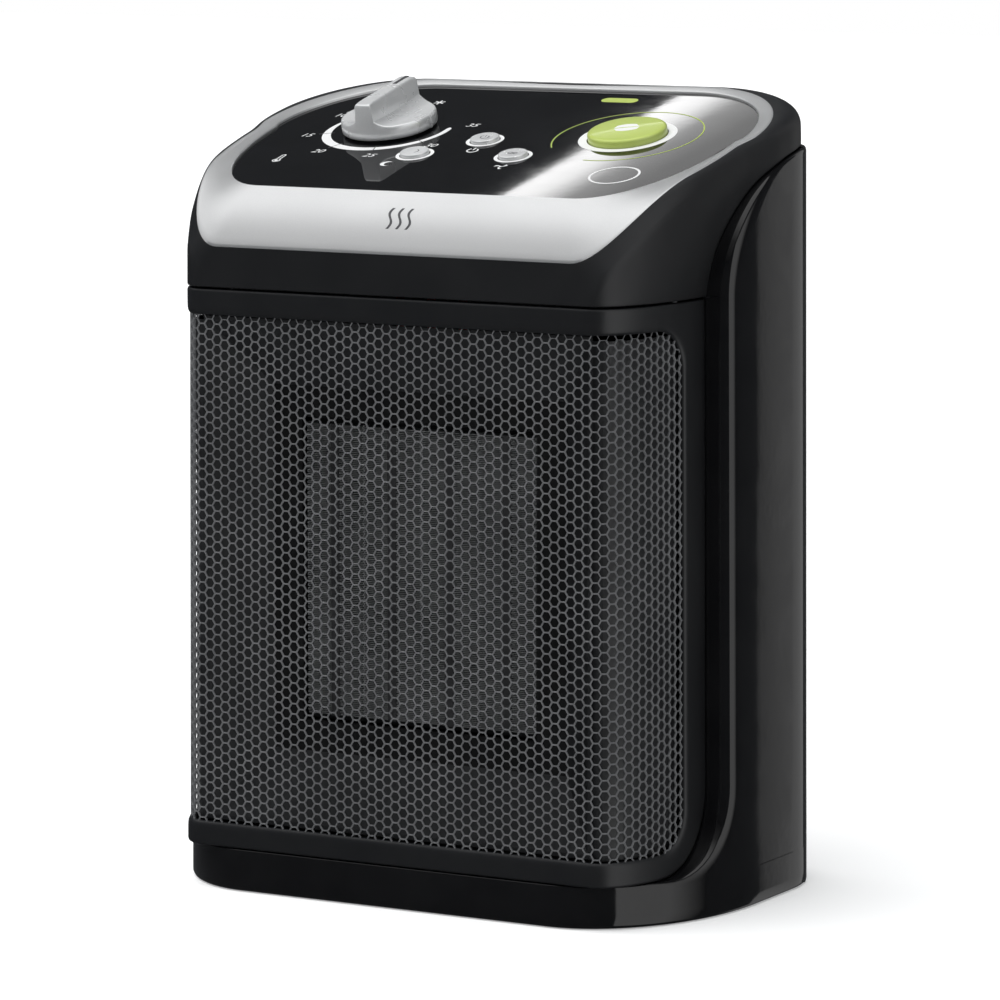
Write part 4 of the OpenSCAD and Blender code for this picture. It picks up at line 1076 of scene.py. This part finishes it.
def barOnPanel(name, x0, x1, v0, v1, w0, w1, finish, rounding=0.25):
    work = bmesh.new()
    low = [work.verts.new(onPanel(x, v, w0) * mm) for x, v in ((x0, v0), (x1, v0), (x1, v1), (x0, v1))]
    high = [work.verts.new(onPanel(x, v, w1) * mm) for x, v in ((x0, v0), (x1, v0), (x1, v1), (x0, v1))]
    work.faces.new(high)
    work.faces.new(low[::-1])
    for k in range(4):
        work.faces.new((low[k], low[(k + 1) % 4], high[(k + 1) % 4], high[k]))
    bmesh.ops.recalc_face_normals(work, faces=work.faces)
    bmesh.ops.bevel(work, geom=work.edges[:], offset=rounding * mm, segments=2, affect="EDGES",
        profile=0.5)
    mesh = bpy.data.meshes.new(name)
    work.to_mesh(mesh)
    work.free()
    return keepMesh(name, mesh, finish)


pointer = barOnPanel("knob_pointer_line", -45.75, -44.25, 67 + 6.5, 67 + 15.4, 13.3, 14.08, "greyPrint",
    0.1)
finishPiece(pointer, "thermostat_knob", ["knob_pointer"])


# Push buttons: crowned caps with a flange and a stem below the panel
buttonSize = {"radius": 5.0, "height": 1.5, "flange": -2.3, "stemEnd": -6.4, "stem": 1.8}
ecoSize = {"radius": 13.5, "height": 3.1, "flange": -2.3, "stemEnd": -6.4, "stem": 1.8}
buttonPlaces = {"silence": (-21, 41.5), "standby": (-3, 58.3), "turbo": (16, 43.2), "eco": (46.7, 67.7)}


def capProfile(size, dish=0.0):
    r, top = size["radius"], size["height"]
    crown = []
    for k in range(13):
        f = k / 12
        crown.append((r * 0.9 * f, top - 0.16 * (f ** 2) * (r / 5) ** 0.5 - dish * (1 - f * f) ** 2))
    edgeTop = crown[-1][1]
    crown += [(r * 0.9 + (r * 0.1) * math.sin(math.radians(a)),
        edgeTop - r * 0.075 * (1 - math.cos(math.radians(a))))
        for a in (20, 40, 60, 75, 90)]
    side = [(r, size["flange"]), (r + 1, size["flange"] - 0.02), (r + 1, size["flange"] - 1.4),
        (size["stem"], size["flange"] - 1.42),
        (size["stem"], size["stemEnd"]), (0.0, size["stemEnd"])]
    return crown + side


for buttonName, place in buttonPlaces.items():
    isEco = buttonName == "eco"
    cap = turned(capProfile(ecoSize if isEco else buttonSize, 0.0 if isEco else 0.35), place,
        "limeCap" if isEco else "knobSilver", buttonName + "_cap", 96 if isEco else 56)
    finishPiece(cap, buttonName + "_button", [buttonName + "_button"])
print("knob and buttons made")


# Printing on the panel: thin raised shapes, built as strips
printSize = {"low": -0.05, "high": 0.06}


class PrintSheet:
    def __init__(self, place):
        self.work = bmesh.new()
        self.place = place

    def strip(self, left, right):  # a band between two rows of points, with low walls
        low, high = printSize["low"], printSize["high"]
        rows = [[self.work.verts.new(self.place(x, v, w) * mm) for x, v in side]
            for side, w in ((left, low), (left, high), (right, high), (right, low))]
        for a, b in zip(rows, rows[1:]):
            for k in range(len(a) - 1):
                self.work.faces.new((a[k], a[k + 1], b[k + 1], b[k]))
        for end in (0, -1):
            self.work.faces.new([row[end] for row in rows])

    def fill(self, outline):
        low, high = printSize["low"], printSize["high"]
        bottom = [self.work.verts.new(self.place(x, v, low) * mm) for x, v in outline]
        top = [self.work.verts.new(self.place(x, v, high) * mm) for x, v in outline]
        self.work.faces.new(top)
        for k in range(len(top)):
            self.work.faces.new((bottom[k], bottom[(k + 1) % len(top)], top[(k + 1) % len(top)],
                top[k]))

    # angles run anticlockwise from straight up the slope
    def arc(self, centre, radius, width, start, end, steps=60):
        inner, outer = [], []
        for k in range(steps + 1):
            a = math.radians(start + (end - start) * k / steps)
            w = width(k / steps) if callable(width) else width
            for side, r in ((inner, radius - w / 2), (outer, radius + w / 2)):
                side.append((centre[0] - r * math.sin(a), centre[1] + r * math.cos(a)))
        self.strip(inner, outer)

    def disc(self, centre, radius, steps=40):
        self.fill([(centre[0] + radius * math.cos(2 * math.pi * k / steps),
            centre[1] + radius * math.sin(2 * math.pi * k / steps))
            for k in range(steps)])

    def line(self, a, b, width):
        d = Vector((b[0] - a[0], b[1] - a[1])).normalized() * (width / 2)
        self.strip([(a[0] - d.y, a[1] + d.x), (b[0] - d.y, b[1] + d.x)],
            [(a[0] + d.y, a[1] - d.x), (b[0] + d.y, b[1] - d.x)])

    def number(self, text, centre, height, slant=0.25):
        curve = bpy.data.curves.new("digits", "FONT")
        curve.body = text
        curve.align_x, curve.align_y = "CENTER", "CENTER"
        curve.size = height
        curve.shear = slant
        curve.resolution_u = 4
        holder = bpy.data.objects.new("digits", curve)
        bpy.context.scene.collection.objects.link(holder)
        graph = bpy.context.evaluated_depsgraph_get()
        mesh = bpy.data.meshes.new_from_object(holder.evaluated_get(graph))
        bpy.data.objects.remove(holder)
        made = [self.work.verts.new(self.place(centre[0] + p.co.x, centre[1] + p.co.y,
            printSize["high"]) * mm) for p in mesh.vertices]
        for face in mesh.polygons:
            self.work.faces.new([made[k] for k in face.vertices])
        bpy.data.meshes.remove(mesh)

    def finish(self, name, finish):
        bmesh.ops.recalc_face_normals(self.work, faces=self.work.faces)
        up = self.place(0, 50, 1) - self.place(0, 50, 0)
        for face in self.work.faces:
            if abs(face.normal.dot(up)) > 0.5 and face.normal.dot(up) < 0:
                face.normal_flip()
        mesh = bpy.data.meshes.new(name)
        self.work.to_mesh(mesh)
        self.work.free()
        return keepMesh(name, mesh, finish, 30)


scaleSize = {"radius": 22.2, "width": 3.3, "numbers": {"10": 66, "15": 110, "20": 152, "25": 195,
    "30": 237, "35": 282},
    "numberRadius": 29.5, "numberHeight": 4.6}


def scaleWidth(f):
    grow = ease(f / 0.35)
    shrink = 1 - 0.42 * ease((f - 0.45) / 0.5)
    tail = math.sqrt(max(0.0, 1 - max(0.0, (f - 0.975) / 0.025) ** 2))
    return max(0.05, scaleSize["width"] * (0.12 + 0.88 * grow) * shrink * tail)


whitePrints = PrintSheet(onPanel)
knobCentre = knobSize["at"]
whitePrints.arc(knobCentre, scaleSize["radius"], scaleWidth, 52, 278, 120)
for text, angle in scaleSize["numbers"].items():
    a = math.radians(angle)
    r = scaleSize["numberRadius"]
    whitePrints.number(text, (knobCentre[0] - r * math.sin(a), knobCentre[1] + r * math.cos(a)),
        scaleSize["numberHeight"])
for k in range(3):  # frost mark at the low end of the scale
    a = math.radians(60 * k)
    reach, lean = scaleSize["numberRadius"], math.radians(-6)
    cx, cv = knobCentre[0] - reach * math.sin(lean), knobCentre[1] + reach * math.cos(lean)
    whitePrints.line((cx - 2.1 * math.sin(a), cv - 2.1 * math.cos(a)),
        (cx + 2.1 * math.sin(a), cv + 2.1 * math.cos(a)), 0.5)
for buttonName, place in buttonPlaces.items():
    if buttonName != "eco":
        whitePrints.arc(place, 5.95, 1.25, 0, 360, 64)
whitePrints.arc(buttonPlaces["eco"], 15.35, 2.9, 0, 360, 96)
whitePrints.arc((62, 28.2), 8.3, 0.8, 0, 360, 72)  # plain ring mark
# small pictograms beside the buttons: moon, power, fan, and a thermometer by the scale
mx, mv = buttonPlaces["silence"][0] - 5.0, buttonPlaces["silence"][1] - 10.6
outerMoon = [(mx + 2.3 * math.cos(math.radians(a)),
    mv + 2.3 * math.sin(math.radians(a))) for a in range(60, 301, 12)]
innerMoon = [(mx + 0.35 + 1.95 * math.cos(math.radians(a)),
    mv + 1.95 * math.sin(math.radians(a))) for a in range(60, 301, 12)]
innerMoon[0] = innerMoon[-1] = None
innerMoon = [outerMoon[k] if p is None else (p[0] + 0.75, p[1]) for k, p in enumerate(innerMoon)]
whitePrints.strip(outerMoon, innerMoon)
px, pv = buttonPlaces["standby"][0] + 1.0, buttonPlaces["standby"][1] - 10.8
whitePrints.arc((px, pv), 1.9, 0.5, 35, 325, 30)
whitePrints.line((px, pv + 0.4), (px, pv + 2.7), 0.5)
fx, fv = buttonPlaces["turbo"][0] + 1.0, buttonPlaces["turbo"][1] - 10.8
for k in range(3):
    blade = []
    for s in range(15):
        a = math.radians(120 * k + 75 * math.sin(math.pi * s / 14) * 0.5 + (28 if s > 7 else 0))
        r = 0.5 + 2.0 * math.sin(math.pi * s / 14)
        blade.append((fx + r * math.cos(a), fv + r * math.sin(a)))
    whitePrints.fill(blade)
whitePrints.disc((fx, fv), 0.45, 16)
tx, tv = -69, 30
whitePrints.arc((tx, tv), 1.3, 0.45, 22, 338, 24)
whitePrints.line((tx - 0.62, tv + 1.0), (tx - 0.62, tv + 5.4), 0.4)
whitePrints.line((tx + 0.62, tv + 1.0), (tx + 0.62, tv + 5.4), 0.4)
whitePrints.arc((tx, tv + 5.4), 0.62, 0.4, -90, 90, 12)
whitePrints.disc((tx, tv), 0.7, 16)
whitePanel = whitePrints.finish("panel_printing_white", "whitePrint")
finishPiece(whitePanel, "heater_body", ())

darkTicks = PrintSheet(lambda x, v, w: onPanel(x, v, w + 0.03))
for text, angle in scaleSize["numbers"].items():
    if text not in ("10", "35"):
        a = math.radians(angle)
        darkTicks.line((knobCentre[0] - 19.6 * math.sin(a), knobCentre[1] + 19.6 * math.cos(a)),
            (knobCentre[0] - 25.2 * math.sin(a), knobCentre[1] + 25.2 * math.cos(a)), 0.3)
finishPiece(darkTicks.finish("panel_scale_ticks", "greyPrint"), "heater_body", ())

greenPrints = PrintSheet(onPanel)
greenPrints.arc(buttonPlaces["eco"], 25.8, 0.45, 172, 484, 110)
pill = []
for side, a0 in ((1, -90), (-1, 90)):
    pill += [(24.6 + side * 4.6 + 2.3 * math.cos(math.radians(a0 + 180 * k / 12)),
        104.7 + 2.3 * math.sin(math.radians(a0 + 180 * k / 12)))
        for k in range(13)]
greenPrints.fill(pill)
finishPiece(greenPrints.finish("panel_printing_green", "limePrint"), "heater_body", ())

# leaf on the eco cap, moving with the button
capTop = ecoSize["height"] - 0.03
ecoX, ecoV = buttonPlaces["eco"]
leafPrints = PrintSheet(lambda x, v, w: onPanel(x, v,
    w + capTop - 0.12 * ((x - ecoX) ** 2 + (v - ecoV) ** 2) / 36))
leafLine = []
for k in range(21):
    f = k / 20
    leafLine.append((ecoX - 6.2 + 12.4 * f, ecoV - 2.4 + 5.0 * f, 3.4 * math.sin(math.pi * f) ** 0.8))
upper = [(x - w * 0.37, v + w) for x, v, w in leafLine]
middleUp = [(x - w * 0.04, v + w * 0.09 + 0.12) for x, v, w in leafLine]
middleDown = [(x + w * 0.04, v - w * 0.09 - 0.12) for x, v, w in leafLine]
lower = [(x + w * 0.37, v - w) for x, v, w in leafLine]
leafPrints.strip(upper, middleUp)
leafPrints.strip(middleDown, lower)
leafPrints.line((ecoX - 8.6, ecoV - 3.5), (ecoX - 6.0, ecoV - 2.3), 0.6)
leaf = leafPrints.finish("eco_cap_leaf", "whitePrint")
finishPiece(leaf, "eco_button", ())

# engraved marks on the three small caps
for buttonName in ("silence", "standby", "turbo"):
    bx, bv = buttonPlaces[buttonName]
    mark = PrintSheet(lambda x, v, w: onPanel(x, v, w + 1.17))
    if buttonName == "silence":
        mark.arc((bx, bv), 1.5, 0.35, 200, 340, 20)
    elif buttonName == "standby":
        mark.arc((bx, bv), 1.5, 0.35, 35, 325, 30)
        mark.line((bx, bv + 0.4), (bx, bv + 2.1), 0.35)
    else:
        mark.arc((bx - 0.9, bv), 0.75, 0.3, 0, 360, 20)
        mark.arc((bx + 0.9, bv), 0.75, 0.3, 0, 360, 20)
    finishPiece(mark.finish(buttonName + "_cap_mark", "greyPrint"), buttonName + "_button", ())


def onChin(x, f, w=0.0):  # a place on the flat middle of the bezel's chin
    lowY, topY = planPoint("lip", 0)[1], planPoint("panel", 0)[1]
    outer = Vector((x, lowY, lipZ(lowY)))
    inner = Vector((x, topY, planeZ(topY) + bezelSize["lift"]))
    up = Vector((0, -0.6, 0.8))
    lift = bezelSize["bulgeFront"] * math.sin(math.pi * (0.06 + 0.94 * f)) + 0.12
    return outer + (inner - outer) * (0.03 + 0.94 * f) + up * (lift + w)


heatMark = PrintSheet(lambda x, v, w: onChin(x, v, w))
for k in range(3):
    left, right = [], []
    for s in range(25):
        f = s / 24
        x = -3.6 + 3.6 * k + 0.85 * math.sin(2 * math.pi * f)
        left.append((x - 0.45, 0.34 + 0.36 * f))
        right.append((x + 0.45, 0.34 + 0.36 * f))
    heatMark.strip(left, right)
finishPiece(heatMark.finish("chin_heat_mark", "greyPrint"), "heater_body", ())
print("printing made")


# Back casing with a hand grip and intake slots
backSize = {"gripWidth": 90, "gripHeight": 30, "gripZ": 221, "gripFace": 66.0,
    "slotHeight": 4, "slotStep": 8, "slotLow": 46, "slots": 16, "slotIn": 3, "slotOut": 52,
    "wall": 2.2, "glandAt": (48, 24), "glandHole": 8.6,
    "screws": ((84, 40), (84, 222)), "screwHole": 3.5, "cutFrom": 55, "screwCutFrom": 48, "cutTo": 75}


def cutterFrom(name, outline, y0, y1):  # prism along Y
    work = bmesh.new()
    front = [work.verts.new((x * mm, y0 * mm, z * mm)) for x, z in outline]
    back = [work.verts.new((x * mm, y1 * mm, z * mm)) for x, z in outline]
    work.faces.new(front)
    work.faces.new(back[::-1])
    for k in range(len(outline)):
        work.faces.new((front[k], back[k], back[(k + 1) % len(outline)], front[(k + 1) % len(outline)]))
    bmesh.ops.recalc_face_normals(work, faces=work.faces)
    mesh = bpy.data.meshes.new(name)
    work.to_mesh(mesh)
    work.free()
    piece = bpy.data.objects.new(name, mesh)
    bpy.context.scene.collection.objects.link(piece)
    return piece


def makeSlotCutters(size):  # geometry nodes: one round-ended slot repeated in two columns
    r = size["slotHeight"] / 2
    length = size["slotOut"] - size["slotIn"]
    cell = cutterFrom("slotCell", roundedBox(0, 0, length, 2 * r, r - 0.01, 8), 58, 70)
    tree, gin, gout = startTree("intakeSlots", [("Slot", "NodeSocketObject", None),
        ("Rows", "NodeSocketInt", 10),
        ("Step", "NodeSocketFloat", 0.008), ("Low", "NodeSocketFloat", 0.04),
        ("Side", "NodeSocketFloat", 0.02)])
    points = geo(tree, "GeometryNodePoints", Count=maths(tree, "MULTIPLY", gin.outputs["Rows"], 2.0))
    index = geo(tree, "GeometryNodeInputIndex").outputs[0]
    side = maths(tree, "MULTIPLY_ADD", maths(tree, "MODULO", index, 2.0), 2.0, -1.0)
    row = maths(tree, "FLOOR", maths(tree, "DIVIDE", index, 2.0))
    spots = geo(tree, "GeometryNodeSetPosition", Geometry=points.outputs[0], Position=vectorOf(tree,
        maths(tree, "MULTIPLY", side, gin.outputs["Side"]), 0.0,
        maths(tree, "MULTIPLY_ADD", row, gin.outputs["Step"], gin.outputs["Low"])))
    shape = geo(tree, "GeometryNodeObjectInfo", Object=gin.outputs["Slot"])
    placed = geo(tree, "GeometryNodeInstanceOnPoints", Points=spots.outputs[0],
        Instance=shape.outputs["Geometry"])
    endTree(tree, gout, placed.outputs[0], "backBlack")
    values = {"Slot": cell, "Rows": size["slots"], "Step": size["slotStep"] * mm,
        "Low": size["slotLow"] * mm,
        "Side": (size["slotIn"] + size["slotOut"]) / 2 * mm}
    cutters = runTree("slotCutters", tree, values, "backBlack")
    bpy.data.objects.remove(cell)
    return cutters


def ringAt(cx, cz, radius, stepAngle):  # circle around a centre, as points
    angles = [math.radians(stepAngle * k) for k in range(360 // stepAngle)]
    return [(cx + radius * math.cos(a), cz + radius * math.sin(a)) for a in angles]


def makeBack(size):
    start = tAtY("body", hs["backY"] + shellSize["seamGap"])
    places = [start + (4 - start) * k / 26 for k in range(27)] + [4 + k / 10 for k in range(1, 11)]
    top = hs["sideTop"]
    rows = []
    levels = [(hs["low"], 0.3), (hs["low"] + 0.35, 0.12), (hs["low"] + 1.1, 0.0)]
    levels += [(hs["low"] + 1.1 + (top - 1.2 - hs["low"] - 1.1) * k / 12, 0.0) for k in range(1, 13)]
    levels += [(top - 0.4, 0.25), (top, 0.6)]
    for z, inset in levels:
        row = [onPlan("body", t, z, inset) for t in places]
        seam = row[0]
        row = [seam + Vector((-2.0, 0.02, 0)),
            seam + Vector((-0.3, 0.0, 0))] + [seam + Vector((0, 0.35, 0))] + row[1:]
        rows.append(row)
    shell = skin("back_casing", [(rows, False)], "backBlack", mirror=True, sharp=50)
    faceOut(shell, (0, 66, 120), (0, 1, 0))
    thick = shell.modifiers.new("wall", "SOLIDIFY")
    thick.thickness = size["wall"] * mm
    thick.offset = -1
    near, far = size["cutFrom"], size["cutTo"]
    cutters = [makeSlotCutters(size)]
    grip = roundedBox(0, size["gripZ"], size["gripWidth"], size["gripHeight"], 8)
    cutters.append(cutterFrom("gripCutter", grip, near, far))
    gx, gz = size["glandAt"]
    cutters.append(cutterFrom("glandCutter", ringAt(gx, gz, size["glandHole"], 10), near, far))
    for side in (1, -1):
        for x, z in size["screws"]:
            hole = ringAt(side * x, z, size["screwHole"], 15)
            cutters.append(cutterFrom("screwCutter", hole, size["screwCutFrom"], far))
    for cutter in cutters:
        cut = shell.modifiers.new("cut", "BOOLEAN")
        cut.operation = "DIFFERENCE"
        cut.solver = "EXACT"
        cut.object = cutter
    made = applyModifiers(shell, "backBlack", 35)
    for cutter in cutters:
        bpy.data.objects.remove(cutter)
    return made


backCasing = makeBack(backSize)
finishPiece(backCasing, "heater_body", ["back_shell"])


def makeGripTray(size):  # hand grip: a rounded tray with a rolled mouth
    face = size["gripFace"]

    def rowAt(y, grow, r):  # outline of the grip, grown or shrunk all round
        outline = roundedBox(0, size["gripZ"], size["gripWidth"] + 2 * grow,
            size["gripHeight"] + 2 * grow, r)
        return [Vector((x, y, z)) for x, z in outline]

    mouth = ((1.4, 0.0, 9.4), (0.9, -0.05, 8.9), (0.35, 0.25, 8.35), (0.0, 1.0, 8.0))
    bowl = ((8, 0.1, 8), (18, 0.3, 7.8), (21.5, 0.8, 7.4), (22.6, 1.9, 6.6), (23.0, 4.5, 5.0),
        (23.0, 14, 1.0))
    rows = [rowAt(face - inset + 0.05, out, r) for out, inset, r in mouth]
    rows += [rowAt(face - inset, -shrink, r) for inset, shrink, r in bowl]
    tray = skin("hand_grip_tray", [(rows, True)], "backBlack", sharp=60)
    faceOut(tray, (0, 43, size["gripZ"]), (0, 1, 0))
    return tray


tray = makeGripTray(backSize)
finishPiece(tray, "heater_body", ())
print("back casing made")


# Stage: pale floor, soft boxes and a plain white surround
stageSize = {"floor": 6.0, "floorGlow": 0.30, "seen": 1.0, "mirrored": 0.06, "lit": 0.45,
    "sunPower": 2.6, "sunSpread": 60, "sunTilt": (10, -14)}


def makeFloor(size):
    work = bmesh.new()
    bmesh.ops.create_grid(work, x_segments=1, y_segments=1, size=size["floor"])
    mesh = bpy.data.meshes.new("floor")
    work.to_mesh(mesh)
    work.free()
    floor = bpy.data.objects.new("floor", mesh)
    bpy.context.scene.collection.objects.link(floor)
    material, _, shader = startMaterial("paleFloor", (0.86, 0.86, 0.86), roughness=0.6)
    shader.inputs["Specular IOR Level"].default_value = 0.1
    shader.inputs["Emission Color"].default_value = (1, 1, 1, 1)
    shader.inputs["Emission Strength"].default_value = size["floorGlow"]
    mesh.materials.append(material)
    floor.visible_glossy = False


def softBox(name, place, target, size, power):
    light = bpy.data.lights.new(name, "AREA")
    light.shape = "RECTANGLE"
    light.size = light.size_y = size
    light.energy = power
    holder = bpy.data.objects.new(name, light)
    bpy.context.scene.collection.objects.link(holder)
    holder.location = place
    holder.rotation_euler = (Vector(target) - Vector(place)).to_track_quat("-Z", "Y").to_euler()


def makeWorld(size):  # white all round, but dark where a glossy surface would mirror it
    world = bpy.data.worlds.new("studio")
    bpy.context.scene.world = world
    world.use_nodes = True
    tree = world.node_tree
    tree.nodes.clear()

    def background(colour, strength):
        node = addNode(tree, "ShaderNodeBackground")
        node.inputs["Color"].default_value = (*colour, 1)
        node.inputs["Strength"].default_value = strength
        return node

    seen = background((1, 1, 1), size["seen"])
    mirrored = background((0.9, 0.95, 1.0), size["mirrored"])
    lit = background((0.95, 0.98, 1.0), size["lit"])
    path = addNode(tree, "ShaderNodeLightPath")
    first = addNode(tree, "ShaderNodeMixShader")
    second = addNode(tree, "ShaderNodeMixShader")
    out = addNode(tree, "ShaderNodeOutputWorld")
    tree.links.new(path.outputs["Is Glossy Ray"], first.inputs[0])
    tree.links.new(lit.outputs[0], first.inputs[1])
    tree.links.new(mirrored.outputs[0], first.inputs[2])
    tree.links.new(path.outputs["Is Camera Ray"], second.inputs[0])
    tree.links.new(first.outputs[0], second.inputs[1])
    tree.links.new(seen.outputs[0], second.inputs[2])
    tree.links.new(second.outputs[0], out.inputs[0])


def reflector(name, corner, along, across, stops, strength):  # card seen only in glossy surfaces
    mesh = bpy.data.meshes.new(name)
    corner, along, across = Vector(corner), Vector(along), Vector(across)
    mesh.from_pydata([corner, corner + along, corner + along + across, corner + across], [],
        [(0, 1, 2, 3)])
    card = bpy.data.objects.new(name, mesh)
    bpy.context.scene.collection.objects.link(card)
    shade = mesh.attributes.new("shade", "FLOAT", "POINT")
    for k, value in enumerate((0.0, 0.0, 1.0, 1.0)):
        shade.data[k].value = value
    material = bpy.data.materials.new(name)
    material.use_nodes = True
    tree = material.node_tree
    tree.nodes.clear()
    read = addNode(tree, "ShaderNodeAttribute", {"attribute_name": "shade"})
    ramp = addNode(tree, "ShaderNodeValToRGB")
    while len(ramp.color_ramp.elements) < len(stops):
        ramp.color_ramp.elements.new(0.5)
    for element, (place, value) in zip(ramp.color_ramp.elements, stops):
        element.position = place
        element.color = (value, value, value, 1)
    glow = addNode(tree, "ShaderNodeEmission")
    glow.inputs["Strength"].default_value = strength
    out = addNode(tree, "ShaderNodeOutputMaterial")
    tree.links.new(read.outputs["Fac"], ramp.inputs[0])
    tree.links.new(ramp.outputs[0], glow.inputs["Color"])
    tree.links.new(glow.outputs[0], out.inputs[0])
    mesh.materials.append(material)
    card.visible_camera = card.visible_diffuse = False
    card.visible_shadow = card.visible_transmission = False


def makeSun(size):  # one broad sky panel, not seen in glossy surfaces
    sun = bpy.data.lights.new("skyPanel", "SUN")
    sun.energy = size["sunPower"]
    sun.angle = math.radians(size["sunSpread"])
    holder = bpy.data.objects.new("skyPanel", sun)
    tiltX, tiltY = size["sunTilt"]
    holder.rotation_euler = (math.radians(tiltX), math.radians(tiltY), 0)
    holder.visible_glossy = False
    bpy.context.scene.collection.objects.link(holder)


# Each card: corner, edge along, edge across, brightness stops across it, strength
cards = {
    "overheadCard": ((-2.6, -2.4, 1.6), (3.6, 0, 0), (0, 2.9, 0),
        ((0.0, 0.0), (0.45, 0.2), (0.7, 1.0), (1.0, 1.0)), 1.25),
    "frontCard": ((1.26, -0.99, -1.2), (0, 0, 2.7), (0.19, 1.66, 0),
        ((0.0, 1.0), (0.62, 0.9), (0.80, 0.45), (1.0, 0.0)), 1.2),
    "backCard": ((0.806, 1.383, -1.3), (0, 0, 2.8), (-0.61, 0.343, 0),
        ((0.0, 0.0), (0.04, 1.0), (1.0, 0.8)), 0.55),
    "panelCard": ((-1.528, 1.382, 1.553), (0.748, 0.632, -0.201), (0.064, -0.038, 0.118),
        ((0.0, 1.0), (0.1, 0.8), (0.19, 0.26), (0.32, 0.16), (1.0, 0.08)), 5.0),
}

makeFloor(stageSize)
makeWorld(stageSize)
makeSun(stageSize)
softBox("keyBox", (-1.1, -1.2, 2.4), (0, 0, 0.15), 1.0, 5)
for cardName, card in cards.items():
    reflector(cardName, *card)
print("stage made")
